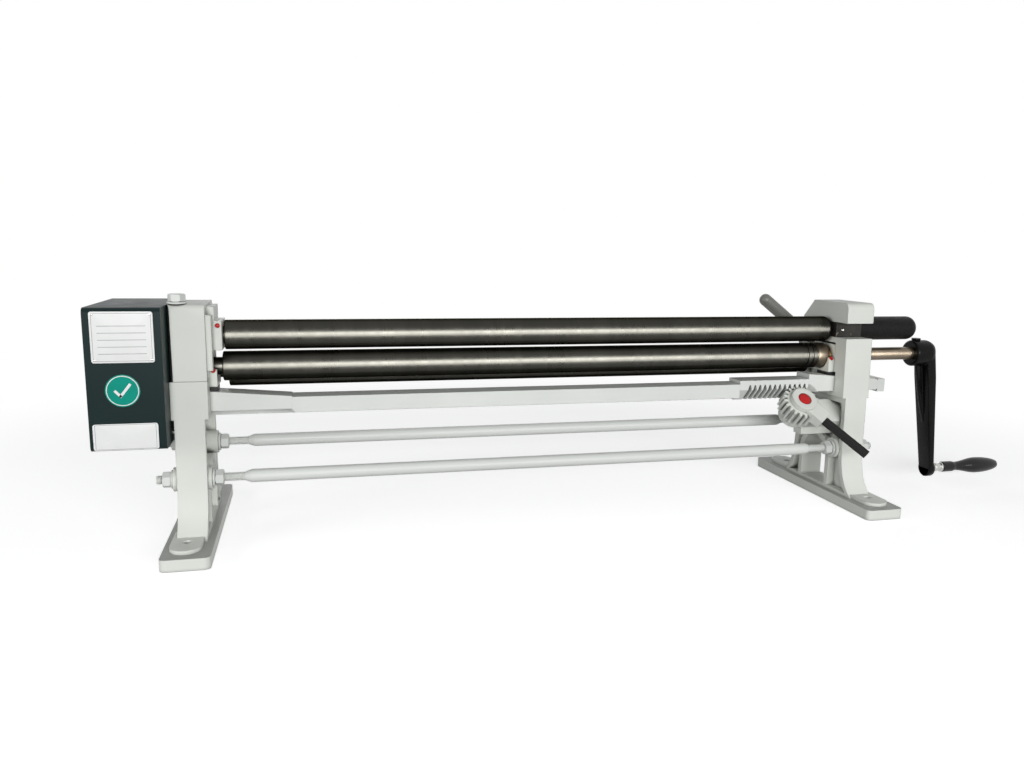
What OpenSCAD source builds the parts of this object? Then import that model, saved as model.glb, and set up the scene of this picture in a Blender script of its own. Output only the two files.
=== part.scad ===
// Bench slip roll with three rolls, a hand crank and a swinging top roll.
// All sizes are in millimetres.
// The origin is the centre of the four foot holes at the underside of the feet.
// X runs along the rolls towards the crank, Y to the back and Z up.
// Two castings carry the rolls. The lower roll rides in two blocks on the wedges of
// the front bar, which the toothed front lever shifts through its rack. The rear roll
// rides in two blocks on the ramps of the rear bar, shifted by the rear lever.
// The top roll is carried by a swivel head at the left and by a slip block at the right.

/* [Rolls] */
// Diameter of the three rolls
roll_d = 40; // [34:0.5:41]
// Height of the lower roll's axis
lower_z = 232.5; // [228:0.5:236]
// Gap between top and lower roll with the lever as stored
pinch_gap = 2.5; // [2.4:0.1:4]
// Place of the upper and lower rolls from the middle, towards the back
roll_y = -16; // [-18:0.5:-15]
// Place of the rear roll from the middle, towards the back
rear_y = 28; // [27:0.5:30]
// Height of the rear roll's axis when lowered
rear_z = 218; // [214:0.5:221]
// Gap from a roll's shoulder to the right frame
roll_end_gap = 2.4; // [2:0.1:5]
// Length of the left neck of the top roll that shows
top_neck_show = 19.5; // [18:0.5:24]
// Length of the left neck of the lower roll that shows
lower_neck_show = 16; // [12:0.5:22]
// Rounding of the roll shoulders at the right end
shoulder_r = 7; // [3:0.5:9]
// Rounding of the roll shoulders at the left end
edge_r = 1.5; // [0.5:0.1:3]
// Diameter of the roll necks in their bushes
neck_d = 24; // [20:0.5:25]
// Diameter of the top roll's right neck
slip_neck_d = 16; // [12:0.5:18]
// Diameter of the rear roll's necks
rear_neck_d = 16; // [12:0.5:17]
// Depth of the wire grooves in the lower roll
groove_depth = 2.2; // [1:0.1:4]
// Width of each wire groove
groove_w = 4; // [2:0.1:6]
// Distance between wire grooves
groove_pitch = 9; // [7:0.5:14]
// Distance of the last wire groove from the roll's shoulder
groove_end = 23; // [18:0.5:60]

/* [Frames] */
// Distance of each frame's centre from the middle
frame_x = 494; // [380:1:800]
// Thickness of a frame's head
head_t = 46; // [42:0.5:50]
// Height of the top of the frames
frame_top = 319; // [317:0.5:324]
// Step from the head's face to the leg's face, inside
leg_step_in = 5; // [2:0.5:7]
// Step from the head's face to the leg's face, outside
leg_step_out = 3.5; // [1:0.5:6]
// Height where the thick head begins
head_z = 170; // [160:1:174]
// Front face of the head at its top
front_top_y = -66; // [-68:0.5:-65]
// Front face of the leg at mid height
front_mid_y = -72; // [-77:0.5:-70]
// Front face of the leg on the foot
front_foot_y = -102; // [-103:0.5:-90]
// Rear face of the head at the bottom of the top corner
rear_top_y = 49; // [48:0.5:54]
// Rear face of the leg at mid height
rear_mid_y = 57; // [55.5:0.5:57]
// Rear face of the leg on the foot
rear_foot_y = 80; // [70:0.5:90]
// Height of the mid point of the legs
mid_z = 140; // [130:1:150]
// Rounding of the top front corner
top_front_r = 9; // [4:0.5:14]
// Depth of the cut top rear corner
top_rear_cut_y = 26; // [14:0.5:30]
// Height of the cut top rear corner
top_rear_cut_z = 28; // [14:0.5:30]
// Front face of the arch between the legs
arch_front_y = -31; // [-34:0.5:-28]
// Rear face of the arch between the legs
arch_rear_y = 33; // [28:0.5:36]
// Height of the crown of the arch
arch_top_z = 97; // [90:0.5:98]
// Height of the arch's sill above the foot
arch_sill = 5; // [2:0.5:10]
// Width of the raised rim round a leg's pocket
rim_w = 9; // [6:0.5:11]
// Depth of a leg's pocket
pocket_depth = 13; // [6:0.5:16]
// Diameter of the tie rod bosses
boss_d = 32; // [28:0.5:36]
// Standing height of a boss past the head's outer face
boss_out = 3; // [1:0.5:5]

/* [Feet] */
// Width of a foot
foot_w = 60.5; // [56:0.5:70]
// Length of a foot
foot_l = 322; // [300:1:360]
// Thickness of a foot
foot_t = 15.5; // [12:0.5:18]
// Rounding of a foot's corners
foot_r = 8; // [3:0.5:14]
// Centre of a foot from its frame's centre
foot_shift = 2.5; // [0:0.5:4]
// Width of the raised pad round a foot hole
pad_w = 39; // [30:0.5:44]
// Thickness of a pad above the foot
pad_t = 5; // [2:0.5:7]
// Distance of the foot holes from the middle, to front and back
bolt_y = 113; // [108:0.5:120]
// Distance of the foot holes from the frame's centre
bolt_shift = 5; // [3:0.5:6]
// Diameter of the foot holes
bolt_hole_d = 11; // [9:0.5:14]
// Distance from a foot hole to the round end of its pad
pad_end = 33; // [28:0.5:40]

/* [Bearing blocks] */
// Length of a lower block, front to back
block_l = 50; // [49:0.5:51]
// Underside of a lower block
block_z0 = 208; // [207.5:0.1:209]
// Top of a lower block
block_z1 = 252; // [250:0.5:252.5]
// Length by which a lower block stands out of its frame
block_out = 9.5; // [7:0.5:11]
// Top of the part of a lower block outside its frame
tab_z = 231; // [226:0.5:232]
// Gap round the roll in the saddle of a lower block
saddle_gap = 1.2; // [0.8:0.1:3]
// Outer diameter of the bronze bushes
bush_d = 32; // [29:0.5:34]
// Length of a rear block, front to back
rear_block_l = 26; // [24:0.5:26]
// Height of a rear block
rear_block_h = 26; // [22:0.5:26]
// Diameter of the oil plugs
plug_d = 6; // [4:0.5:7]
// Height by which an oil plug stands out
plug_h = 2; // [1:0.1:3]

/* [Front bar] */
// Front face of the front bar
bar_y0 = -46; // [-46.5:0.1:-44]
// Rear face of the front bar
bar_y1 = -11; // [-13:0.1:-10]
// Underside of the front bar
bar_z0 = 171; // [168:0.5:173]
// Top of the front bar
bar_z1 = 192.4; // [190:0.1:194]
// Left end of the plain bar, from the left frame's centre
bar_left = 128; // [110:1:160]
// Rise of the wedges per length
wedge_share = 0.08333; // [0.07:0.001:0.09]
// Underside of the left wedge
wedge_left_z0 = 176; // [172:0.5:178]
// Underside of the right wedge
wedge_right_z0 = 178; // [174:0.5:180]
// Thickness of a shoe at the thick end
shoe_t = 5; // [4.8:0.1:6]
// Length of the left wedge past the left frame's centre
wedge_left_out = 31; // [24:0.5:34]
// Length of the right wedge past the right frame's centre
wedge_right_out = 57; // [52:0.5:70]
// Length of the stop at the bar's right end
stop_l = 13; // [8:0.5:20]
// Depth of the groove before the stop
stop_groove = 1.5; // [0.5:0.1:3]
// Length of the right wedge's thick head
wedge_head_l = 17; // [12:0.5:18]

/* [Rack and front lever] */
// Length of the rack block
rack_l = 120; // [112:1:140]
// Left end of the rack block from the right frame's centre
rack_left = 189; // [187:1:200]
// Underside of the rack block
rack_z0 = 165.3; // [164:0.1:167]
// Top of the rack block
rack_z1 = 198; // [195:0.5:199]
// Size of the 45 degree bevel that carries the teeth
bevel = 18; // [16:0.5:20]
// Module of rack and lever gear
rack_m = 2.75; // [2.6:0.05:2.85]
// Distance of the lever's axis from the right frame's centre
lever_in = 89.2; // [86:0.1:92]
// Face width of the lever gear
lever_face = 25; // [20:0.5:26]
// Diameter of the lever's stud
lever_stud_d = 16; // [12:0.5:18]
// Diameter of the lever's hub
lever_hub_d = 40; // [36:0.5:42]
// Height of the lever's hub above the gear's middle
lever_hub_h = 21; // [18:0.5:24]
// Width of the lever's cast arm
lever_arm_w = 27; // [22:0.5:32]
// Thickness of the lever's cast arm
lever_arm_t = 17; // [13:0.5:18]
// Length of the lever's cast arm
lever_arm_l = 43; // [40:0.5:50]
// Side of the lever's square rod
lever_rod_w = 9.5; // [7:0.5:12]
// Reach of the lever's square rod
lever_reach = 122; // [100:1:140]
// Distance of arm and rod above the gear's middle
lever_rod_up = 10; // [9.5:0.1:11]
// Diameter of the lever's cap
lever_cap_d = 20; // [17:0.5:24]
// Thickness of the lever's cap
lever_cap_t = 2.5; // [1.5:0.1:4]
// Thickness of the lever's bracket
bracket_t = 16; // [12:0.5:20]
// Diameter of the bracket's round end
bracket_d = 42; // [36:0.5:43]

/* [Rear bar and lever] */
// Width of the rear bar
rear_bar_w = 22; // [18:0.5:24]
// Underside of the rear bar
rear_bar_z0 = 158; // [157:0.5:159]
// Top of the rear bar
rear_bar_z1 = 180; // [176:0.5:182]
// Thickness of the rear bar under the blocks when lowered
ramp_low = 5; // [4:0.5:6]
// Rise of the ramps per length
ramp_share = 0.46; // [0.42:0.01:0.47]
// Travel of the rear bar
rear_travel = 50; // [44:0.5:50.5]
// Width of the nose that rides on a ramp
nose_w = 10; // [8:0.5:12]
// Pitch radius of the rear lever's toothed quadrant
quadrant_r = 60; // [59:0.25:61]
// Number of teeth of the full rear gear
quadrant_teeth = 48; // [46:1:50]
// Thickness of quadrant and rear rack
quadrant_t = 14; // [10:0.5:14]
// Middle of the rear lever from the middle of the machine
rear_lever_y = 64.5; // [64.5:0.5:68]
// Height of the rear lever's pivot
rear_pivot_z = 249.5; // [249:0.25:250]
// Diameter of the rear lever's arm
rear_arm_d = 20; // [16:0.5:21]
// Length of the rear lever from pivot to end
rear_lever_l = 121; // [90:1:150]
// Tilt of the rear lever from upright as stored
rear_lever_tilt = 53.4; // [50:0.2:58]
// Diameter of the rear lever's stud
rear_stud_d = 14; // [10:0.5:16]

/* [Swivel head and king bolt] */
// Distance of the king bolt from the left frame's centre
king_out = 11; // [8:0.5:12]
// Distance of the king bolt behind the head's front face
king_back = 12; // [11:0.5:14]
// Diameter of the king bolt
king_d = 12; // [10:0.5:13]
// Underside of the swivel head's front part
head_front_z = 220; // [216:0.5:222]
// Rear face of the swivel head's front part
head_front_y = -46.3; // [-48:0.1:-46]
// Underside of the swivel head's upper part
head_upper_z = 257.3; // [256.5:0.1:258]
// Diameter of the boss round the top roll's left bearing
head_boss_d = 42; // [38:0.5:44]
// Width across flats of the larger nuts and bolt heads
big_af = 19; // [17:0.5:22]
// Height of the king bolt's head
king_head_h = 10; // [7:0.5:12]
// Thickness of washers
washer_t = 3; // [2:0.1:3.5]

/* [Slip block and handle] */
// Underside of the slot for the slip block
slot_z0 = 263.5; // [262.5:0.1:264]
// Height of the slot for the slip block
slot_h = 24; // [22:0.5:25]
// Rear end of the slot for the slip block
slot_y1 = 1; // [-1:0.5:2]
// Length of the slip block, front to back
slip_block_l = 40; // [30:0.5:44]
// Diameter of the slip handle
slip_handle_d = 38; // [30:0.5:42]
// Length of the slip handle
slip_handle_l = 113; // [90:1:130]
// Rounding of the slip handle's end
slip_handle_r = 14; // [6:0.5:17]

/* [Tie rods] */
// Diameter of the tie rods
rod_d = 18; // [14:0.5:22]
// Diameter of the tie rods' threaded ends
rod_neck_d = 12; // [10:0.5:14]
// Length of the thin neck inside each frame
rod_neck_l = 32; // [24:0.5:40]
// Length of the taper between rod and neck
rod_taper = 6; // [3:0.5:10]
// Place of the lower tie rod, front to back
rod_low_y = -51; // [-54:0.5:-50]
// Height of the lower tie rod
rod_low_z = 86.5; // [82:0.5:90]
// Place of the upper tie rod, front to back
rod_up_y = 34; // [33:0.5:36]
// Height of the upper tie rod
rod_up_z = 116; // [115:0.5:120]
// Thickness of the tie rod nuts
nut_t = 11; // [8:0.5:13]
// Length of thread past the outer nuts
thread_out = 8; // [3:0.5:14]

/* [Gears and cover] */
// Module of the roll gears
gear_m = 2.5; // [2.5:0.01:2.51]
// Number of teeth of each roll gear
gear_teeth = 17; // [17:1:17]
// Face width of the roll gears
gear_face = 20; // [15:0.5:22]
// Distance of the roll gears from the frame's outer face
gear_out = 23; // [22:0.5:26]
// Tip height of the gear teeth
gear_tip = 0.85; // [0.8:0.05:1]
// Width of the driving slot in the top gear's hub
dog_slot_w = 15; // [14:0.5:16]
// Thickness of the driving tongue on the top roll
dog_t = 7; // [5:0.5:8]
// Length of the driving tongue
dog_l = 8; // [6:0.5:8]
// Diameter of the top gear's stud
gear_stud_d = 16; // [12:0.5:18]
// Depth of the gear cover, along the rolls
cover_x = 88; // [84:0.5:100]
// Front face of the gear cover
cover_y0 = -108; // [-115:0.5:-100]
// Rear face of the gear cover
cover_y1 = 68; // [60:0.5:75]
// Underside of the gear cover
cover_z0 = 141; // [132:0.5:146]
// Top of the gear cover
cover_z1 = 318.5; // [315:0.5:325]
// Wall of the gear cover
cover_wall = 2; // [1.5:0.1:3]
// Rounding of the gear cover's edges
cover_r = 7; // [4:0.5:12]
// Thickness of the cover's mounting plate
plate_t = 2.5; // [2:0.1:4]

/* [Crank] */
// Crank radius
crank_r = 200; // [170:1:205]
// Diameter of the crank shaft
crank_shaft_d = 21; // [18:0.5:23]
// Distance of the crank hub from the frame's outer face
hub_out = 114; // [114:0.5:130]
// Length of the crank hub
hub_l = 39; // [32:0.5:45]
// Diameter of the crank hub
hub_d = 43; // [38:0.5:48]
// Width of the crank arm at the hub
arm_w0 = 38; // [32:0.5:42]
// Width of the crank arm at the grip
arm_w1 = 29; // [24:0.5:32]
// Thickness of the crank arm at the hub
arm_t0 = 18; // [14:0.5:22]
// Thickness of the crank arm at the grip
arm_t1 = 9; // [7:0.5:10]
// Outward lean of the crank arm's outer face over its length
arm_lean = 21.5; // [10:0.5:30]
// Thickness of the rib on the crank arm
arm_rib = 6; // [3:0.5:8]
// Length of the grip
grip_l = 113; // [95:1:130]
// Largest diameter of the grip
grip_d = 27; // [22:0.5:32]
// Diameter of the grip's spindle
spindle_d = 10; // [8:0.5:11]
// Length of the ferrule between arm and grip
ferrule_l = 23; // [16:0.5:28]
// Diameter of the ferrule
ferrule_d = 17; // [14:0.5:20]

/* [Fits] */
// Running clearance on the radius
run_gap = 0.05; // [0.02:0.01:0.1]
// Clearance on the radius of fixed seats
seat_gap = 0.02; // [0:0.01:0.05]
// Clearance of sliding blocks and bars
slide_gap = 0.3; // [0.2:0.05:0.5]
// Clearance between wedges or ramps and what rides on them
ride_gap = 0.12; // [0.05:0.01:0.3]
// Clearance between pieces that only pass each other
pass_gap = 0.5; // [0.4:0.1:1]

/* [Colours] */
paint = [0.80, 0.81, 0.79];
paint_grey = [0.56, 0.57, 0.54];
dark_steel = [0.24, 0.22, 0.20];
bright_steel = [0.66, 0.66, 0.66];
bronze = [0.66, 0.50, 0.28];
black_iron = [0.06, 0.06, 0.06];
black_plastic = [0.04, 0.04, 0.04];
cover_green = [0.13, 0.17, 0.17];
plug_red = [0.78, 0.07, 0.08];

/* [Hidden] */
$fn = 48;
eps = 0.01;

// values worked out from the named sizes, and small fixed details
x_in = frame_x - head_t / 2;
x_out = frame_x + head_t / 2;
leg_in = x_in + leg_step_in;
leg_out = x_out - leg_step_out;
top_z = lower_z + roll_d + pinch_gap;
far = foot_l;
edge_steps = 8;
flare_power = 5;
head_swing = 20;
head_relief_w = 18;
lever_back = 28;
rod_yz = [[rod_low_y, rod_low_z], [rod_up_y, rod_up_z]];
arch_r = (arch_rear_y - arch_front_y) / 2;
arch_y = (arch_rear_y + arch_front_y) / 2;
arch_z0 = foot_t + arch_sill;
slot_front_y0 = bar_y0 - slide_gap;
slot_front_y1 = bar_y1 + slide_gap;
block_y0 = roll_y - block_l / 2;
block_y1 = roll_y + block_l / 2;
rear_block_y0 = rear_y - rear_block_l / 2;
rear_block_y1 = rear_y + rear_block_l / 2;
rear_lift = rear_travel * ramp_share;
lower_play = 3;
foot_x0 = frame_x + foot_shift - foot_w / 2;
foot_x1 = frame_x + foot_shift + foot_w / 2;
king_x = -frame_x - king_out;
king_y = front_top_y + king_back;
king_z0 = head_front_z - 3 * rim_w;
knuckle_r = head_t / 2 - king_out;
knuckle_back = king_y + knuckle_r * sin(asin((head_front_y - king_y) / knuckle_r) + head_swing);
head_upper_gap = 0.3;
cover_screw_yz = [[front_top_y + rim_w, head_z - 2 * rim_w], [front_top_y + rim_w, head_z + plug_d],
  [rear_top_y, head_z - rim_w], [rear_top_y - plate_t, lower_z - rim_w]];
cover_screw_d = 5;
lever_x = frame_x - lever_in;
rack_teeth = 20;
gear_r = rack_teeth * rack_m / 2;
bar_travel = gear_r * lever_back * PI / 180;
rack_drop = gear_r - rack_m;
bevel_y = bar_y0 + bevel / 2;
bevel_z = rack_z0 + bevel / 2;
lever_y = bevel_y - rack_drop * sin(45);
lever_z = bevel_z - rack_drop * sin(45);
lever_angle = -54;
bracket_gap = 1;
bracket_top = -lever_face / 2 - bracket_gap;
rear_boss_d = 28;
rear_boss_y = rear_lever_y - quadrant_t / 2 - pass_gap;
rear_stud_y0 = rear_block_y1 + slide_gap + eps;
rod_end = x_out + boss_out + washer_t + nut_t + thread_out;
rod_body = x_in - rod_neck_l;
head_rib_w = 12;
head_rib_out = 7;
head_rib_z0 = lower_z + eps;
head_boss_x = x_in - top_neck_show + washer_t / 2;
head_pad_z1 = frame_top - plug_h * 2;
head_bore_d = bush_d + 2 * seat_gap;
plug_seat = 3;
roll_x1 = x_in - roll_end_gap;
top_x0 = -x_in + top_neck_show;
lower_x0 = -x_in + lower_neck_show;
hub_gap = 3.5;
dog_x = -x_out - hub_gap + washer_t / 2;
slip_depth = 33;
slip_gap = 0.4;
slip_x0 = x_in + pass_gap;
slip_x1 = x_out - pass_gap;
slip_y1 = slot_y1 - pass_gap;
handle_thread_d = 14;
handle_thread_l = 10;
handle_x0 = x_out + pass_gap;
gear_x1 = -x_out - gear_out;
gear_x0 = gear_x1 - gear_face;
gear_bore_d = 20;
lower_neck_x0 = gear_x0 - washer_t / 2;
crank_x0 = x_out + hub_out;
bolt_d = 8;
bolt_af = 13;
bolt_head_h = 5.5;
tab_chamfer = 3;
block_x0 = x_in - block_out;
wedge_at = block_z0 - shoe_t;
shoe_rise = (x_out - block_x0) * wedge_share - edge_r;
shoe_x1 = x_out - shoe_t;
shoe_in = 1;
bar_x0 = -frame_x + bar_left;
rack_x0 = frame_x - rack_left;
rack_x1 = rack_x0 + rack_l;
bar_chamfer = 4;
left_wedge_x0 = -frame_x - wedge_left_out;
right_wedge_x1 = frame_x + wedge_right_out;
wedge_foot_z = rack_z0 + rack_m * 4;
stop_drop = 3;
rack_pitch = PI * rack_m;
rack_slack = 0.15;
rack_thick = rack_pitch / 2 - rack_slack;
rack_root = 3.3;
rack_first = -9;
rack_last = 2;
lever_thick = rack_pitch / 2 - rack_slack * 2;
lever_rod_seat = 15;
stud_nut_t = 8;
nose_x0 = frame_x - nose_w / 2;
rear_nose_z = rear_bar_z0 + ramp_low;
ramp_l = rear_travel + nose_w;
ramp_top = rear_nose_z + ramp_l * ramp_share;
rear_bar_y0 = rear_y - rear_bar_w / 2;
rear_bar_y1 = rear_y + rear_bar_w / 2;
ramp_lead = 12;
rear_bar_x0 = -nose_x0 - nose_w - ramp_lead;
rear_join_x = x_out + rear_travel + pass_gap;
ramp_cap = 8;
leg_lift = 22;
rear_roll_in = 3;
rear_roll_gap = block_out + slide_gap * 5;
quad_m = 2 * quadrant_r / quadrant_teeth;
quad_pitch = PI * quad_m;
quad_root = quad_m * 1.2;
quad_y0 = rear_lever_y - quadrant_t / 2;
quad_y1 = rear_lever_y + quadrant_t / 2;
rear_rack_z = rear_pivot_z - quadrant_r;
rear_rack_h = 20;
rear_rack_w = 10;
quad_hub_d = 34;
gear_slack = 1.3;
gear_thick = gear_m * PI / 2 - gear_slack;
gear_root = 4.2;
dog_hub_d = 36;
dog_hub_x1 = -x_out - hub_gap;
stud_tip = 1.5;
bracket_x1 = gear_x0 - rim_w - stud_tip;
gear_plate_t = 8;
post_thread_d = 6;
post_d = 10;
post_y = rear_top_y - plate_t;
post_yz = [[post_y, lower_z + rim_w], [post_y, lower_z - rear_stud_d * 2]];
plate_x1 = -x_out - pass_gap / 2;
plate_x0 = plate_x1 - plate_t;
cover_x0 = -x_out - cover_x;
opening_r = 8;
opening_y0 = bar_y0 - slide_gap - washer_t / 2;
opening_y1 = rear_block_y1 + slide_gap;
opening_z1 = top_z + dog_hub_d / 2 + shoulder_r;
opening_z0 = rear_bar_z0 - washer_t;
screw_head_d = 9;
screw_head_t = 3.5;
crank_hub_x1 = crank_x0 + hub_l;
grip_z = lower_z - crank_r;
arm_x0 = crank_hub_x1 - arm_t0;
arm_proud = 2;
arm_end_x = crank_hub_x1 + arm_lean;
arm_boss_x1 = arm_end_x + arm_proud;
arm_boss_l = 11;
arm_boss_x0 = arm_boss_x1 - arm_boss_l;
gusset_share = 0.6;
set_d = 8;
set_x = crank_x0 + set_d * 5 / 4;
grip_x0 = arm_boss_x1 + ferrule_l;
grip_x1 = grip_x0 + grip_l;
end_cap = 4;
collar_share = 0.17;
neck_share = 0.24;
belly_share = 0.62;
collar_d = 18;
grip_neck_d = 15;
end_share = 0.8;
grip_steps = 30;
front_slope = atan((front_top_y - front_mid_y) / (frame_top - mid_z));

// places the children, drawn in Y and Z, as a bar from x0 to x1
module x_bar(x0, x1) {
  translate([x0, 0, 0]) rotate([90, 0, 90]) linear_extrude(x1 - x0) children();
}

// places the children, drawn in X and Z, as a bar from y0 to y1
module y_bar(y0, y1) {
  translate([0, y1, 0]) rotate([90, 0, 0]) linear_extrude(y1 - y0) children();
}

module x_cyl(x0, x1, d, y, z) {
  translate([x0, y, z]) rotate([0, 90, 0]) cylinder(h = x1 - x0, d = d);
}

module y_cyl(y0, y1, d, x, z) {
  translate([x, y0, z]) rotate([-90, 0, 0]) cylinder(h = y1 - y0, d = d);
}

module hexagon_x(x0, x1, y, z) {
  translate([x0, y, z]) rotate([0, 90, 0]) cylinder(h = x1 - x0, d = big_af / cos(30), $fn = 6);
}

module block(x0, x1, y0, y1, z0, z1) {
  translate([x0, y0, z0]) cube([x1 - x0, y1 - y0, z1 - z0]);
}

// rounded rectangle from corner to corner, as plain squares and circles
module round_box(a0, a1, b0, b1, r) {
  translate([a0 + r, b0]) square([a1 - a0 - 2 * r, b1 - b0]);
  translate([a0, b0 + r]) square([a1 - a0, b1 - b0 - 2 * r]);
  for (a = [a0 + r, a1 - r]) for (b = [b0 + r, b1 - r]) translate([a, b]) circle(r);
}

// revolves a list of [x, radius] points about an axis along X at y, z
module x_turned(pts, y, z) {
  translate([0, y, z]) rotate([0, 90, 0]) rotate_extrude()
    polygon([for (p = pts) [p[1], p[0]]]);
}

function arc_pts(ca, cb, r, a0, a1, n) =
  [for (i = [0:n]) let (a = a0 + (a1 - a0) * i / n) [ca + r * cos(a), cb + r * sin(a)]];

// involute helpers: angle of the flank at radius r for base radius rb, in degrees
function flank(r, rb) = r <= rb ? 0 : let (c = acos(rb / r)) tan(c) * 180 / PI - c;

// one side of an involute tooth: half angle at radius r
function half_angle(r, rp, rb, t) = t / rp * 90 / PI + flank(rp, rb) - flank(max(r, rb), rb);

// gear outline with a tooth centred on the +Y side and the given run of teeth
function gear_pts(n, m, tip, root, thick, steps, first, last) =
  let (rp = n * m / 2, rb = rp * cos(20), r0 = rp - root, r1 = rp + tip)
  [for (k = [first:last]) let (a = 90 + 360 * k / n)
    each concat(
      [for (i = [0:steps]) let (r = r0 + (r1 - r0) * i / steps,
        h = half_angle(r, rp, rb, thick)) [r * cos(a - h), r * sin(a - h)]],
      [for (i = [steps:-1:0]) let (r = r0 + (r1 - r0) * i / steps,
        h = half_angle(r, rp, rb, thick)) [r * cos(a + h), r * sin(a + h)]])];

// side view of a frame between two heights, with its edges moved in by inset
function edge_y(z, top_y, mid_y, foot_y) =
  z >= mid_z ? mid_y + (top_y - mid_y) * (z - mid_z) / (frame_top - mid_z)
  : mid_y + (foot_y - mid_y) * pow((mid_z - z) / (mid_z - foot_t), flare_power);
function front_edge(z) = edge_y(z, front_top_y, front_mid_y, front_foot_y);
function rear_edge(z) = edge_y(z, rear_top_y, rear_mid_y, rear_foot_y);
// strip of the side view between two heights, drawn in by inset
function strip_pts(z0, z1, inset) =
  concat([for (i = [edge_steps:-1:0]) let (z = z0 + (z1 - z0) * pow(i / edge_steps, 2))
      [front_edge(z) + inset, z]],
    [for (i = [0:edge_steps]) let (z = z0 + (z1 - z0) * pow(i / edge_steps, 2))
      [rear_edge(z) - inset, z]]);

// whole side view: flared legs, straight head, round front corner and cut rear corner
module frame_profile() polygon(concat(
  [[front_foot_y, foot_t / 2]],
  [for (i = [0:edge_steps]) let (z = foot_t + (mid_z - foot_t) * pow(i / edge_steps, 2)) [front_edge(z), z]],
  arc_pts(front_edge(frame_top - top_front_r) + top_front_r / cos(front_slope), frame_top - top_front_r,
    top_front_r, 180 - front_slope, 90, edge_steps),
  [[rear_top_y - top_rear_cut_y, frame_top], [rear_edge(frame_top - top_rear_cut_z), frame_top - top_rear_cut_z]],
  [for (i = [edge_steps:-1:0]) let (z = foot_t + (mid_z - foot_t) * pow(i / edge_steps, 2)) [rear_edge(z), z]],
  [[rear_foot_y, foot_t / 2]]));

module arch(grow) {
  translate([arch_y, arch_top_z - arch_r]) circle(arch_r + grow);
  translate([arch_front_y - grow, arch_z0 - grow])
    square([2 * arch_r + 2 * grow, arch_top_z - arch_r - arch_z0 + grow]);
}

// one frame casting for the right side, with its bearings' slots open up to bearing_top
module frame_body(bearing_top, bar_floor) {
  difference() {
    union() {
      difference() {
        union() {
          intersection() {
            x_bar(x_in, x_out) frame_profile();
            block(x_in - rim_w, x_out + rim_w, -far, far, head_z, bearing_top);
          }
          intersection() {
            x_bar(leg_in, leg_out) frame_profile();
            block(x_in - rim_w, x_out + rim_w, -far, far, 0, bearing_top - rim_w);
          }
        }
        x_bar(leg_in - rim_w, leg_in + pocket_depth) difference() {
          polygon(strip_pts(foot_t + pad_t, head_z - rim_w, rim_w));
          arch(rim_w);
        }
      }
      foot();
      for (p = rod_yz) x_cyl(x_in, x_out + boss_out, boss_d, p[0], p[1]);
    }
    x_bar(x_in - far, x_out + far) arch(0);
    bar_slots(bar_floor);
    for (p = rod_yz) x_cyl(x_in - far, x_out + far, rod_neck_d + 2 * seat_gap, p[0], p[1]);
    for (s = [-1, 1]) translate([frame_x + bolt_shift, s * bolt_y, -foot_t])
      cylinder(h = foot_t * 3, d = bolt_hole_d);
  }
}

// slots for the front bar with the lower block and for the rear bar with the rear block
module bar_slots(bar_floor) {
  block(x_in - far, x_out + far, slot_front_y0, slot_front_y1, bar_floor - ride_gap, block_z0 + pass_gap);
  block(x_in - far, x_out + far, block_y0 - slide_gap, block_y1 + slide_gap,
    block_z0 - lower_play / 2, block_z1 + lower_play);
  block(x_in - far, x_out + far, rear_block_y0 - slide_gap, rear_block_y1 + slide_gap,
    rear_bar_z0 - ride_gap, rear_z + rear_block_h / 2 + rear_lift + pass_gap);
}

module foot() {
  linear_extrude(foot_t) round_box(foot_x0, foot_x1, -foot_l / 2, foot_l / 2, foot_r);
  for (s = [-1, 1]) {
    translate([frame_x + bolt_shift, s * (bolt_y + pad_end - pad_w / 2), foot_t - eps])
      cylinder(h = pad_t + eps, d = pad_w);
    translate([frame_x + bolt_shift - pad_w / 2, s > 0 ? rear_mid_y : -bolt_y - pad_end + pad_w / 2,
      foot_t - eps])
      cube([pad_w, s > 0 ? bolt_y + pad_end - pad_w / 2 - rear_mid_y
        : bolt_y + pad_end - pad_w / 2 + front_mid_y, pad_t + eps]);
  }
}

module left_frame() color(paint) difference() {
  mirror([1, 0, 0]) frame_body(head_upper_z - head_upper_gap, wedge_left_z0);
  block(-x_out - eps, -x_in + eps, -far, head_front_y + head_upper_gap, head_front_z - head_upper_gap, far);
  intersection() {
    translate([king_x, king_y, head_front_z - head_upper_gap])
      cylinder(h = far, r = knuckle_r + slide_gap);
    block(-x_out - eps, -x_in + eps, -far, knuckle_back + slide_gap, 0, far);
  }
  translate([king_x, king_y, king_z0 - pass_gap]) cylinder(h = far, d = king_d + 2 * seat_gap);
  for (p = cover_screw_yz)
    x_cyl(-x_out - eps, -leg_out + cover_screw_d * 2, cover_screw_d + 2 * seat_gap, p[0], p[1]);
  for (p = post_yz)
    x_cyl(-x_out - eps, -x_out + post_thread_d * 2, post_thread_d + 2 * seat_gap, p[0], p[1]);
}

// the lever's own directions: X as before, Y towards the rack, Z along the stud
module at_lever() translate([lever_x, lever_y, lever_z]) rotate([45, 0, 0]) children();

module lever_bracket() {
  at_lever() translate([0, 0, bracket_top - bracket_t]) {
    cylinder(h = bracket_t, d = bracket_d);
    translate([0, -bracket_d / 2, 0])
      cube([lever_in - head_t / 2 + leg_step_in + pocket_depth + eps, bracket_d, bracket_t]);
  }
  // rib below the bracket, down the leg
  x_bar(lever_x + bracket_d / 2, leg_in + pocket_depth + eps)
    polygon([[lever_y + bracket_d / 2, lever_z - bracket_d / 2], [lever_y + bracket_d, lever_z - bracket_d / 2],
      [lever_y + bracket_d, lever_z - bracket_d - rim_w], [lever_y + bracket_d / 2, lever_z - bracket_d - rim_w]]);
}

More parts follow.
